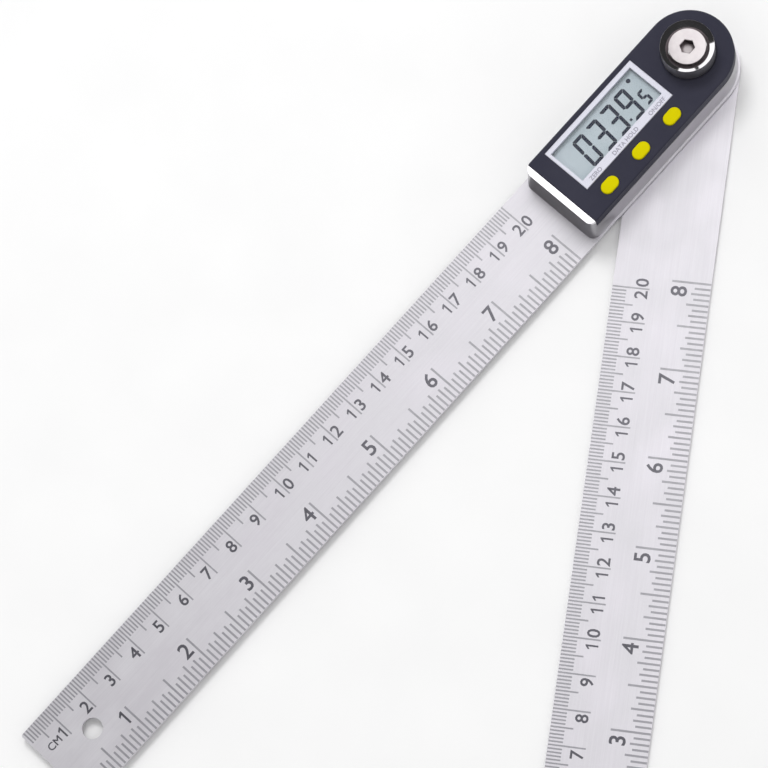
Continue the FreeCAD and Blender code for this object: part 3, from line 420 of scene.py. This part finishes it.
# Slot of the record: what is seen is the metal, plastic or rubber that the real piece is made of
FINISHES = {
    # The case's lighter tone #eeedf0 is a painted highlight on its milled bevel.
    "case_chrome": cast_and_milled("zinc_casting_chromed", "#a5a3a8", "#eeedf0", MILLED_FROM),
    "cover_plastic": moulded_plastic("abs_charcoal_moulded", "#31313f", "#373744", 0.4, (0.45, 0.6),
                                     Specular_IOR_Level=0.15),
    "bezel_silver": silver_lacquer(),
    "window_acrylic": clear_acrylic(),
    "display_glass": crystal_glass(),
    "connector_rubber": moulded_plastic("silicone_layered", "#1a1a1c", "#37373b", 0.2, (0.6, 0.8)),
    "board_laminate": circuit_laminate(),
    "chip_resin": moulded_plastic("resin_black_poured", "#0c0c0d", "#161617", 1.5, (0.1, 0.3)),
    "link_film": moulded_plastic("polyimide_film", "#a8661a", "#c07c28", 1.0, (0.25, 0.4), 0.004),
    "bush_brass": turned_plate("brass_turned", "#c49a4c", "#d9b365", 0.12, 0.18, 0.34),
    "washer_polymer": moulded_plastic("acetal_natural", "#d6d6d0", "#e6e6e2", 0.6, (0.35, 0.5)),
    "turned_steel": turned_plate("steel_turned_passivated", "#a9a9ac", "#bfbfc3", 0.15, 0.22, 0.4),
    "carrier_plastic": moulded_plastic("polyamide_black_moulded", "#141416", "#202023", 0.5, (0.4, 0.6)),
    "screw_steel": turned_plate("steel_nickel_plated", "#a5a3a0", "#c4c2be", 0.2, 0.18, 0.34),
    "battery_steel": turned_plate("steel_cell_can_nickel", "#bdbcb8", "#d2d1ce", 0.3, 0.16, 0.3, (-33, 0)),
    "contact_metal": turned_plate("phosphor_bronze_tinned", "#b9a878", "#d3c79c", 0.3, 0.2, 0.36, (-33, 0)),
    "cap_plastic": moulded_plastic("abs_black_moulded", "#17171a", "#222226", 0.45, (0.4, 0.6)),
    "seal_rubber": moulded_plastic("nitrile_rubber_moulded", "#0f0f10", "#1b1b1c", 0.3, (0.55, 0.75)),
    "knob_chrome": chromed_knob(KNOB_RADIUS),
    "satin_nickel": satin_disc(SCREW_RADIUS, SCREW_TOP - HEAD_SUNK),
    "button_yellow": moulded_plastic("abs_yellow_moulded", "#d4c800", "#ddd200", 0.5, (0.45, 0.6), 0.01,
                                     Specular_IOR_Level=0.06),
    "switch_plastic": moulded_plastic("polyester_black_moulded", "#161616", "#232323", 0.5, (0.4, 0.6)),
}

NODE_SLOTS = {part["node"]: part["material_slot"] for part in frame["record"]["subparts"]}
for mount in frame["record"]["mounts"]:
    if mount["name"] == "hang_hole_lower":
        LOWER_TURN = math.atan2(-mount["pos_m"][1], -mount["pos_m"][0])
STEELS = {"upper_rule": brushed_stainless("stainless_strip_brushed_upper", 0.0),
          "lower_rule": brushed_stainless("stainless_strip_brushed_lower", LOWER_TURN)}
for name, node in frame["nodes"].items():
    node.data.materials.clear()
    node.data.materials.append(STEELS.get(name) or FINISHES[NODE_SLOTS[name]])

LINE_INK = etched_oxide("oxide_in_etched_line", "#9b9aa0", "#aeadb3", "#b4b3b8", 0.9)
FIGURE_INK = etched_oxide("oxide_in_etched_figure", "#57565d", "#6b6a71", "#7d7c83", 0.8)
DISPLAY_BLACK = dull_ink("lcd_segment_lit", "#151b30", "#1f263e")
LABEL_INK = dull_ink("ink_grey_printed", "#9492a0", "#a5a3b0")


# Pieces from mesh code

def piece_from(mesh, name, material, body):
    """Links a finished mesh as one piece that rides on a body."""
    piece = bpy.data.objects.new(name, mesh)
    bpy.context.scene.collection.objects.link(piece)
    mesh.materials.clear()
    mesh.materials.append(material)
    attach(piece, body)
    return piece


def evaluated_mesh(maker):
    """The mesh that an object's modifiers or curve settings give, in its own coordinates."""
    bpy.context.view_layer.update()
    graph = bpy.context.evaluated_depsgraph_get()
    return bpy.data.meshes.new_from_object(maker.evaluated_get(graph))


def joined(parts):
    """One mesh from meshes, each with its place."""
    whole = bmesh.new()
    for mesh, place in parts:
        copy = mesh.copy()
        copy.transform(place)
        whole.from_mesh(copy)
        bpy.data.meshes.remove(copy)
    mesh = bpy.data.meshes.new("joined")
    whole.to_mesh(mesh)
    whole.free()
    return mesh


def widen(shape, reach):
    """Moves the outline of a flat fill outwards by a small reach."""
    ways = {}
    for edge in shape.edges:
        if len(edge.link_faces) == 1:
            a, b = edge.verts
            across = Vector((b.co.y - a.co.y, a.co.x - b.co.x, 0)).normalized()
            if across.dot(edge.link_faces[0].calc_center_median() - a.co) > 0:
                across.negate()
            for vert in edge.verts:
                ways.setdefault(vert, []).append(across)
    for vert, pair in ways.items():
        if len(pair) == 2:
            vert.co += reach * (pair[0] + pair[1]) / max(1 + pair[0].dot(pair[1]), 0.5)


def lettering(text, height, weight, thickness):
    """A raised word in mm, centred on the origin, height mm tall, its strokes widened by a share of that."""
    curve = bpy.data.curves.new("lettering", "FONT")
    curve.body = text
    curve.size = 1.0
    curve.resolution_u = 3
    maker = bpy.data.objects.new("lettering", curve)
    bpy.context.scene.collection.objects.link(maker)
    flat = evaluated_mesh(maker)
    bpy.data.objects.remove(maker)
    xs = [v.co.x for v in flat.vertices]
    ys = [v.co.y for v in flat.vertices]
    scale = height / (max(ys) - min(ys))
    middle = Vector(((min(xs) + max(xs)) / 2, (min(ys) + max(ys)) / 2, 0))
    flat.transform(Matrix.Scale(scale, 4) @ Matrix.Translation(-middle))
    shape = bmesh.new()
    shape.from_mesh(flat)
    bmesh.ops.remove_doubles(shape, verts=shape.verts, dist=1e-5)
    widen(shape, weight * height)
    grown = bmesh.ops.extrude_face_region(shape, geom=shape.faces[:])
    raised = [v for v in grown["geom"] if isinstance(v, bmesh.types.BMVert)]
    bmesh.ops.translate(shape, verts=raised, vec=(0, 0, thickness))
    bmesh.ops.recalc_face_normals(shape, faces=shape.faces[:])
    shape.to_mesh(flat)
    shape.free()
    return flat


def figure_one(height, thickness):
    """A raised figure 1 with its flag, in mm, centred on the origin."""
    half = ONE_STROKE * height / 2
    top, flag = height / 2, height * 0.2
    outline = [(-half, -top), (half, -top), (half, top), (-half * 0.4, top), (-half - flag, top - flag),
               (-half - flag, top - 1.75 * flag), (-half, top - 1.1 * flag)]
    shape = bmesh.new()
    prism(shape, outline, 0.0, thickness)
    mesh = bpy.data.meshes.new("figure_one")
    shape.to_mesh(mesh)
    shape.free()
    return mesh


def graduation_tree():
    """Builds the row of lines: each line is numbered, and every so many lines a longer one stands."""
    tree = bpy.data.node_groups.new("graduation_row", "GeometryNodeTree")
    face = tree.interface
    face.new_socket("Geometry", in_out="OUTPUT", socket_type="NodeSocketGeometry")
    face.new_socket("Lines", in_out="INPUT", socket_type="NodeSocketInt")
    for name in ("Spacing", "Line Width", "Line Height", "Side"):
        face.new_socket(name, in_out="INPUT", socket_type="NodeSocketFloat")
    for level in range(5):
        face.new_socket(f"Length {level}", in_out="INPUT", socket_type="NodeSocketFloat")
    for level in range(1, 5):
        face.new_socket(f"Step {level}", in_out="INPUT", socket_type="NodeSocketFloat")
    face.new_socket("Finish", in_out="INPUT", socket_type="NodeSocketMaterial")
    given = add(tree, "NodeGroupInput").outputs
    row = add(tree, "GeometryNodeMeshLine", {"mode": "OFFSET"}, links={"Count": given["Lines"]})
    index = add(tree, "GeometryNodeInputIndex").outputs[0]
    number = add(tree, "ShaderNodeMath", {"operation": "ADD"}, {1: 1.0}, {0: index}).outputs[0]
    length = given["Length 0"]
    for level in range(1, 5):
        rest = add(tree, "ShaderNodeMath", {"operation": "MODULO"},
                   links={0: number, 1: given[f"Step {level}"]})
        on_step = add(tree, "ShaderNodeMath", {"operation": "LESS_THAN"}, {1: 0.5}, {0: rest.outputs[0]})
        length = add(tree, "GeometryNodeSwitch", {"input_type": "FLOAT"},
                     links={"Switch": on_step.outputs[0], "False": length,
                            "True": given[f"Length {level}"]}).outputs[0]
    along = add(tree, "ShaderNodeMath", {"operation": "MULTIPLY"}, links={0: number, 1: given["Spacing"]})
    inward = add(tree, "ShaderNodeMath", {"operation": "MULTIPLY"}, links={0: length, 1: given["Side"]})
    half = add(tree, "ShaderNodeMath", {"operation": "MULTIPLY"}, {1: 0.5}, {0: inward.outputs[0]})
    rise = add(tree, "ShaderNodeMath", {"operation": "MULTIPLY"}, {1: 0.5}, {0: given["Line Height"]})
    middle = add(tree, "ShaderNodeCombineXYZ", links={"X": along.outputs[0], "Y": half.outputs[0],
                                                      "Z": rise.outputs[0]})
    placed = add(tree, "GeometryNodeSetPosition", links={"Geometry": row.outputs[0],
                                                         "Position": middle.outputs[0]})
    bar = add(tree, "GeometryNodeMeshCube")
    size = add(tree, "ShaderNodeCombineXYZ", links={"X": given["Line Width"], "Y": length,
                                                    "Z": given["Line Height"]})
    lines = add(tree, "GeometryNodeInstanceOnPoints", links={"Points": placed.outputs[0],
                                                             "Instance": bar.outputs["Mesh"],
                                                             "Scale": size.outputs[0]})
    solid = add(tree, "GeometryNodeRealizeInstances", links={"Geometry": lines.outputs[0]})
    inked = add(tree, "GeometryNodeSetMaterial", links={"Geometry": solid.outputs[0],
                                                        "Material": given["Finish"]})
    add(tree, "NodeGroupOutput", links={"Geometry": inked.outputs[0]})
    return tree


def graduation_row(tree, lines, spacing, width, side, lengths, steps):
    """The mesh of one row of lines, in mm: the zero end at the origin, the rule's edge along y = 0."""
    maker = bpy.data.objects.new("graduation_maker", bpy.data.meshes.new("graduation_maker"))
    bpy.context.scene.collection.objects.link(maker)
    modifier = maker.modifiers.new("graduation", "NODES")
    modifier.node_group = tree
    values = {"Lines": lines, "Spacing": spacing, "Line Width": width, "Line Height": INK_HEIGHT,
              "Side": side, "Finish": LINE_INK}
    values.update({f"Length {i}": value for i, value in enumerate(lengths)})
    values.update({f"Step {i + 1}": float(value) for i, value in enumerate(steps)})
    for socket in tree.interface.items_tree:
        if socket.in_out == "INPUT":
            modifier[socket.identifier] = values[socket.name]
    mesh = evaluated_mesh(maker)
    maker.modifiers.remove(modifier)
    bpy.data.objects.remove(maker)
    return mesh


def rule_numerals():
    """All figures of one rule in mm, in the rule's own frame with the pivot at the origin."""
    glyphs = {}
    parts = []

    def stand(text, height, x, y, weight=FIGURE_WEIGHT):
        key = (text, height)
        if key not in glyphs:
            glyphs[key] = (figure_one(height, INK_HEIGHT) if text == "1"
                           else lettering(text, height, weight, INK_HEIGHT))
        parts.append((glyphs[key], Matrix.Translation((x, y, 0))))

    for cm in range(1, SCALE_CM + 1):
        line_x = cm * 10 - RULE_LENGTH
        text = str(cm)
        shifts = CM_PAIR_SHIFTS if cm > 9 else [CM_FIRST_SHIFT if cm == 1 else CM_SINGLE_SHIFT]
        for figure, shift in zip(text, shifts):
            stand(figure, CM_FIGURE_HEIGHT, line_x + shift, CM_FIGURE_Y)
    for inch in range(1, SCALE_INCHES + 1):
        shift = INCH_FIRST_SHIFT if inch == 1 else INCH_FIGURE_SHIFT
        stand(str(inch), INCH_FIGURE_HEIGHT, inch * INCH - RULE_LENGTH + shift, INCH_FIGURE_Y)
    stand("CM", CM_WORD_HEIGHT, CM_WORD_X, CM_WORD_Y, CM_WORD_WEIGHT)
    return joined(parts)


def graduate_rules():
    """Etches the same two scales and figures on both rules, each turned with its own rule."""
    tree = graduation_tree()
    metric = graduation_row(tree, SCALE_CM * 10, 1.0, METRIC_LINE, -1.0, METRIC_LENGTHS, METRIC_STEPS)
    inches = graduation_row(tree, SCALE_INCHES * INCH_PARTS, INCH / INCH_PARTS, INCH_LINE, 1.0,
                            INCH_LENGTHS, INCH_STEPS)
    figures = rule_numerals()
    edge = EDGE_Y - EDGE_MARGIN
    for rule, body, turn, face_z in (("upper", "head", 0.0, UPPER_FACE_Z),
                                     ("lower", "lower_rule", LOWER_TURN, LOWER_FACE_Z)):
        on_rule = Matrix.Scale(MM, 4) @ Matrix.Rotation(turn, 4, "Z") @ Matrix.Translation((0, 0, face_z))
        for kind, mesh, shift in (("metric_lines", metric, (-RULE_LENGTH, edge, 0)),
                                  ("inch_lines", inches, (-RULE_LENGTH, -edge, 0)),
                                  ("figures", figures, (0, 0, 0))):
            own = mesh.copy()
            own.transform(on_rule @ Matrix.Translation(shift))
            piece_from(own, f"{rule}_{kind}", FIGURE_INK if kind == "figures" else LINE_INK, body)


def prism(shape, outline, bottom, top):
    """Adds an upright prism over a flat outline to a bmesh."""
    lower = [shape.verts.new((x, y, bottom)) for x, y in outline]
    upper = [shape.verts.new((x, y, top)) for x, y in outline]
    count = len(outline)
    shape.faces.new(lower[::-1])
    shape.faces.new(upper)
    for i in range(count):
        j = (i + 1) % count
        shape.faces.new((lower[i], lower[j], upper[j], upper[i]))


def figure_bars(left, right, bottom, top, stroke):
    """Outlines of one upright figure's seven bars, cut at a slant so that thin clear lines part them."""
    middle, half, gap = (bottom + top) / 2, stroke / 2, DIGIT_GAP
    cut = DIGIT_CORNER * stroke
    level_bars = []
    for end, way in ((top, 1), (bottom, -1)):
        inner = end - way * stroke
        level_bars.append([(left + cut, end), (right - cut, end),
                           (right - cut / 2 - gap, end - way * cut / 2), (right - stroke - gap, inner),
                           (left + stroke + gap, inner), (left + cut / 2 + gap, end - way * cut / 2)])
    upright_bars = []
    for side, inwards in ((right, -1), (left, 1)):
        for end, way in ((top, 1), (bottom, -1)):
            inner = side + inwards * stroke
            upright_bars.append([(side + inwards * cut / 2, end - way * (cut / 2 + gap)),
                                 (side, end - way * cut), (side, middle + way * (half / 2 + gap)),
                                 (side + inwards * half, middle + way * gap),
                                 (inner, middle + way * (half + gap)), (inner, end - way * (stroke + gap))])
    sloped_gap = 1.4 * gap     # the same clear line, measured level where the ends slope
    near, far = left + half + sloped_gap, right - half - sloped_gap
    centre_bar = [(near, middle), (near + half, middle + half), (far - half, middle + half), (far, middle),
                  (far - half, middle - half), (near + half, middle - half)]
    return [level_bars[0], upright_bars[0], upright_bars[1], level_bars[1], upright_bars[3], upright_bars[2],
            centre_bar]


def display_figure(shape, text, right, top, bottom, width, stroke):
    """Adds the lit bars of one seven bar figure, leaning to the right."""
    for lit, outline in zip(SEGMENTS[text], figure_bars(right - width, right, bottom, top, stroke)):
        if lit == "1":
            leaning = [(x + (y - top) * DIGIT_SLANT, y) for x, y in outline]
            prism(shape, leaning, DISPLAY_Z, DISPLAY_Z + DISPLAY_INK)


def display_characters():
    """The reading 033.95 with its degree mark, as dark figures on the liquid crystal glass."""
    shape = bmesh.new()
    for text, right in zip("0339", DIGIT_RIGHTS):
        display_figure(shape, text, right, DIGIT_TOP, DIGIT_BOTTOM, DIGIT_WIDTH, DIGIT_STROKE)
    right, top, bottom, width, stroke = SMALL_DIGIT
    display_figure(shape, "5", right, top, bottom, width, stroke)
    for x, y, reach, sides in (POINT_AT, DEGREE_AT):
        ring = [(x + reach * math.cos(2 * math.pi * (i + 0.5) / sides),
                 y + reach * math.sin(2 * math.pi * (i + 0.5) / sides)) for i in range(sides)]
        prism(shape, ring, DISPLAY_Z, DISPLAY_Z + DISPLAY_INK)
    bmesh.ops.recalc_face_normals(shape, faces=shape.faces[:])
    mesh = bpy.data.meshes.new("display_characters")
    shape.to_mesh(mesh)
    shape.free()
    mesh.transform(Matrix.Scale(MM, 4))
    piece_from(mesh, "display_characters", DISPLAY_BLACK, "head")


def clear_window():
    """The acrylic pane, its edges eased, a hair above the liquid crystal glass that it covers."""
    low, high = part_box("display_window")
    shape = bmesh.new()
    bmesh.ops.create_cube(shape, size=1.0)
    bottom = WINDOW_BOTTOM * MM
    size = Vector((high.x - low.x, high.y - low.y, high.z - bottom))
    middle = Vector(((low.x + high.x) / 2, (low.y + high.y) / 2, (high.z + bottom) / 2))
    place = Matrix.Translation(middle) @ Matrix.Diagonal(size).to_4x4()
    bmesh.ops.transform(shape, verts=shape.verts, matrix=place)
    bmesh.ops.bevel(shape, geom=shape.edges[:], offset=WINDOW_EASING * MM, segments=2, affect="EDGES",
                    profile=0.5)
    mesh = bpy.data.meshes.new("clear_window")
    shape.to_mesh(mesh)
    shape.free()
    pane = piece_from(mesh, "clear_window", FINISHES["window_acrylic"], "head")
    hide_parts("display_window")


def bezel_labels():
    """The three key names, printed small and grey on the strip under the display."""
    parts = []
    for text, x in LABELS.items():
        word = lettering(text, LABEL_HEIGHT, LABEL_WEIGHT, INK_HEIGHT)
        parts.append((word, Matrix.Translation((x, LABEL_Y, LABEL_Z))))
    mesh = joined(parts)
    mesh.transform(Matrix.Scale(MM, 4))
    piece_from(mesh, "bezel_labels", LABEL_INK, "head")


def eased(profile, steps=4):
    """Rounds the corners of a profile of (radius, height, easing): the easing is how far each round reaches."""
    points = []
    for i, (r, z, reach) in enumerate(profile):
        corner = Vector((r, z))
        if reach == 0 or i in (0, len(profile) - 1):
            points.append(corner)
            continue
        before = corner + (Vector(profile[i - 1][:2]) - corner).normalized() * reach
        after = corner + (Vector(profile[i + 1][:2]) - corner).normalized() * reach
        for k in range(steps + 1):
            t = k / steps
            points.append(before * (1 - t) ** 2 + corner * 2 * t * (1 - t) + after * t ** 2)
    return points


def circle(radius, height, count):
    """Points round a circle, in mm."""
    turns = [2 * math.pi * k / count for k in range(count)]
    return [(radius * math.cos(t), radius * math.sin(t), height) for t in turns]


def hexagon(across, height, count):
    """Points round a hexagon with corners on the x axis, at the same bearings as the points of a circle."""
    points = []
    for k in range(count):
        bearing = 2 * math.pi * k / count
        radius = across / 2 / math.cos(bearing % (math.pi / 3) - math.pi / 6)
        points.append((radius * math.cos(bearing), radius * math.sin(bearing), height))
    return points


def obround(length, width, height, count):
    """Points round a slot shape that lies along x."""
    half = (length - width) / 2
    points = []
    for k in range(count):
        bearing = 2 * math.pi * (k + 0.5) / count
        shift = half if math.cos(bearing) > 0 else -half
        points.append((shift + width / 2 * math.cos(bearing), width / 2 * math.sin(bearing), height))
    return points


def ringed_solid(name, rings, centre=(0, 0), tube=False):
    """A closed solid in metres through rings of points in mm, between two end faces or round a tube."""
    shape = bmesh.new()
    levels = []
    for ring in rings:
        levels.append([shape.verts.new(((x + centre[0]) * MM, (y + centre[1]) * MM, z * MM))
                       for x, y, z in ring])
    for lower, upper in zip(levels, levels[1:] + levels[:1] if tube else levels[1:]):
        for i in range(len(lower)):
            j = (i + 1) % len(lower)
            shape.faces.new((lower[i], lower[j], upper[j], upper[i]))
    if not tube:
        shape.faces.new(levels[0][::-1])
        shape.faces.new(levels[-1])
    bmesh.ops.recalc_face_normals(shape, faces=shape.faces[:])
    mesh = bpy.data.meshes.new(name)
    shape.to_mesh(mesh)
    shape.free()
    mesh.shade_smooth()
    mesh.set_sharp_from_angle(angle=math.radians(SHARP_FROM))
    return mesh


def box_in_mm(node):
    """A node's lowest and highest corners in mm."""
    low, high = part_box(node)
    return [value / MM for value in low], [value / MM for value in high]


def fine_knob():
    """The turned knob: plain skirt, crisp rim and a polished conical dish round the screw."""
    low, high = box_in_mm("lock_knob")
    seat = SCREW_TOP - HEAD_HEIGHT
    pocket = SCREW_RADIUS + POCKET_ROOM
    bore = SHANK_R + BORE_ROOM
    profile = [(bore, seat, 0), (bore, WASHER_POCKET_TOP, 0), (WASHER_POCKET_R, WASHER_POCKET_TOP, 0),
               (WASHER_POCKET_R, low[2], 0), (KNOB_RADIUS, low[2], SCREW_EASING), (KNOB_RADIUS, high[2], 0),
               (pocket, high[2] - DISH_DEPTH, DISH_EASING), (pocket, seat, 0)]
    rings = [circle(p.x, p.y, FINE_SIDES) for p in eased(profile)]
    mesh = ringed_solid("fine_knob", rings, tube=True)
    knob = piece_from(mesh, "fine_knob", FINISHES["knob_chrome"], "lock_knob")
    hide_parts("lock_knob")


def fine_screw():
    """The knob's screw: broad satin head with an eased edge and a hexagon socket."""
    tip = box_in_mm("knob_screw")[0][2]
    seat, top = SCREW_TOP - HEAD_HEIGHT, SCREW_TOP - HEAD_SUNK
    profile = [(THREAD_R, tip, 0), (THREAD_R, THREAD_END, 0), (SHANK_R, SHANK_START, 0), (SHANK_R, seat, 0),
               (SCREW_RADIUS, seat, SCREW_SEAT_EASING), (SCREW_RADIUS, top, SCREW_EASING), (0, top, 0)]
    rings = [circle(p.x, p.y, FINE_SIDES) for p in eased(profile)[:-1]]
    rings += [hexagon(HEX_ACROSS + 2 * HEX_CHAMFER, top, FINE_SIDES),
              hexagon(HEX_ACROSS, top - HEX_CHAMFER, FINE_SIDES),
              hexagon(HEX_ACROSS, top - HEX_DEPTH, FINE_SIDES)]
    mesh = ringed_solid("fine_screw", rings)
    screw = piece_from(mesh, "fine_screw", FINISHES["satin_nickel"], "lock_knob")
    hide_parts("knob_screw")


def fine_key(name):
    """A moulded key with a rounded top edge, on its flange and stem."""
    low, high = box_in_mm(name)
    centre = ((low[0] + high[0]) / 2, (low[1] + high[1]) / 2)
    length, width, top = high[0] - low[0], high[1] - low[1], high[2]
    flange_low = KEY_FLANGE_TOP - KEY_FLANGE_HEIGHT
    rings = [circle(KEY_STEM_R, z, KEY_SIDES) for z in (low[2], flange_low)]
    rings += [obround(length, width, z, KEY_SIDES) for z in (flange_low, KEY_FLANGE_TOP)]
    rings.append(obround(KEY_LENGTH, width, KEY_FLANGE_TOP, KEY_SIDES))
    for k in range(KEY_ROUND_STEPS + 1):
        bend = math.pi / 2 * k / KEY_ROUND_STEPS
        inset = KEY_ROUND * (1 - math.cos(bend))
        rise = KEY_ROUND * math.sin(bend)
        rings.append(obround(KEY_LENGTH - 2 * inset, width - 2 * inset, top - KEY_ROUND + rise, KEY_SIDES))
    mesh = ringed_solid("fine_" + name, rings, centre)
    key = piece_from(mesh, "fine_" + name, FINISHES["button_yellow"], name)
    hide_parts(name)


graduate_rules()
display_characters()
clear_window()
bezel_labels()
fine_knob()
fine_screw()
for key_name in ("zero_button", "hold_button", "on_off_button"):
    fine_key(key_name)


# Studio

# What polished metal sees: direction, angles from it to the soft edge and to full white, and strength
REFLECTED = [
    ((0.02, 0.95, 0.31), 27.5, 25.5, 1.6),        # white card behind the tool
    ((0.694, 0.690, 0.205), 13.5, 11.5, 1.6),     # narrow card to its right
    ((-0.95, 0.27, 0.14), 18, 14, 1.6),           # card beyond the rules' far end
    ((-0.206, -0.266, -0.942), 115, 110, 0.85),   # pale lower walls, below the dark band that the dish shows
]
# Where both of a pair are lit: the overhead panel, and the wall behind between that panel and the dark band
REFLECTED_WITHIN = [
    (((0.490, 0.040, 0.871), 36.7, 30.9, 1.80), ((0, 0, 1), 49, 41, 1.80)),
    (((0.206, 0.266, 0.942), 50, 45, 0.85), ((0.615, 0.788, 0), 62, 50, 0.85)),
]
REFLECTED_ROOM = 0.04
ROOM_LIGHT = 0.72
LAMP_PLACE = (0.26, 0.56, 1.16)
LAMP_SIZE = 0.5
LAMP_POWER = 6.0
LAMP_AIM = (-0.1, 0, 0)
FLOOR_REACH = 4.0              # metres
FLOOR_DROP = 0.05              # mm below the tool, so that no two faces lie in one plane

# The camera that the tool's own scales give: place in metres, turn in degrees, lens in millimetres
CAMERA_PLACE = (-0.2032, -0.2629, 0.9507)
CAMERA_TURN = ((-16.30, "Z"), (16.37, "X"), (-32.12, "Z"))
CAMERA_LENS = 165.26


def studio_floor():
    """A plain pale floor, a hair below the tool."""
    mesh = bpy.data.meshes.new("studio_floor")
    corners = [(-FLOOR_REACH, -FLOOR_REACH, 0), (FLOOR_REACH, -FLOOR_REACH, 0), (FLOOR_REACH, FLOOR_REACH, 0),
               (-FLOOR_REACH, FLOOR_REACH, 0)]
    mesh.from_pydata(corners, [], [(0, 1, 2, 3)])
    mesh.transform(Matrix.Translation((0, 0, -FLOOR_DROP * MM)))
    material, tree, shader, place = start_material("floor_paper_white", "#fbfbfb", 0.9,
                                                   Specular_IOR_Level=0.1)
    tint(tree, shader, grain(tree, place, 30, detail=2), "#fafafa", "#fdfdfd")
    mesh.materials.append(material)
    floor = bpy.data.objects.new("studio_floor", mesh)
    bpy.context.scene.collection.objects.link(floor)


def studio_light():
    """Even room light, and for reflections a room with a broad overhead panel, white cards and pale walls."""
    world = bpy.data.worlds.new("studio")
    bpy.context.scene.world = world
    world.use_nodes = True
    tree = world.node_tree
    tree.nodes.clear()
    seen = add(tree, "ShaderNodeTexCoord").outputs["Generated"]

    def spot(towards, edge, full, strength):
        aim = Vector(towards).normalized()
        near = add(tree, "ShaderNodeVectorMath", {"operation": "DOT_PRODUCT"}, {1: aim}, {0: seen})
        lit = add(tree, "ShaderNodeMapRange", {"interpolation_type": "SMOOTHSTEP"},
                  {"From Min": math.cos(math.radians(edge)), "From Max": math.cos(math.radians(full)),
                   "To Min": 0.0, "To Max": strength}, {"Value": near.outputs["Value"]})
        return lit.outputs[0]

    lit = [spot(*card) for card in REFLECTED]
    for one, other in REFLECTED_WITHIN:
        both = add(tree, "ShaderNodeMath", {"operation": "MINIMUM"}, links={0: spot(*one), 1: spot(*other)})
        lit.append(both.outputs[0])
    glow = add(tree, "ShaderNodeMath", {"operation": "MAXIMUM"}, {1: REFLECTED_ROOM}, {0: lit[0]})
    for brighter in lit[1:]:
        glow = add(tree, "ShaderNodeMath", {"operation": "MAXIMUM"}, links={0: glow.outputs[0], 1: brighter})
    path = add(tree, "ShaderNodeLightPath").outputs
    room = add(tree, "ShaderNodeBackground", values={"Color": (1, 1, 1, 1), "Strength": ROOM_LIGHT})
    mirror = add(tree, "ShaderNodeBackground", values={"Color": (1, 1, 1, 1)},
                 links={"Strength": glow.outputs[0]})
    mixed = add(tree, "ShaderNodeMixShader", links={0: path["Is Glossy Ray"], 1: room.outputs[0],
                                                    2: mirror.outputs[0]})
    add(tree, "ShaderNodeOutputWorld", links={"Surface": mixed.outputs[0]})
    lamp = bpy.data.lights.new("softbox", "AREA")
    lamp.shape = "DISK"
    lamp.size = LAMP_SIZE
    lamp.energy = LAMP_POWER
    holder = bpy.data.objects.new("softbox", lamp)
    holder.location = LAMP_PLACE
    holder.rotation_euler = (Vector(LAMP_AIM) - holder.location).to_track_quat("-Z", "Y").to_euler()
    holder.visible_glossy = False
    bpy.context.scene.collection.objects.link(holder)


def photo_camera():
    """Looks down on the tool from the place that the scales give, with a long lens."""
    data = bpy.data.cameras.new("camera")
    data.lens = CAMERA_LENS
    data.sensor_width = 36.0
    data.clip_start = 0.05
    data.clip_end = 20.0
    camera = bpy.data.objects.new("camera", data)
    placed = Matrix.Translation(CAMERA_PLACE)
    for degrees, axis in CAMERA_TURN:
        placed = placed @ Matrix.Rotation(math.radians(degrees), 4, axis)
    camera.matrix_world = placed
    bpy.context.scene.collection.objects.link(camera)
    bpy.context.scene.camera = camera


studio_floor()
studio_light()
photo_camera()
bpy.context.scene.view_settings.view_transform = "Standard"
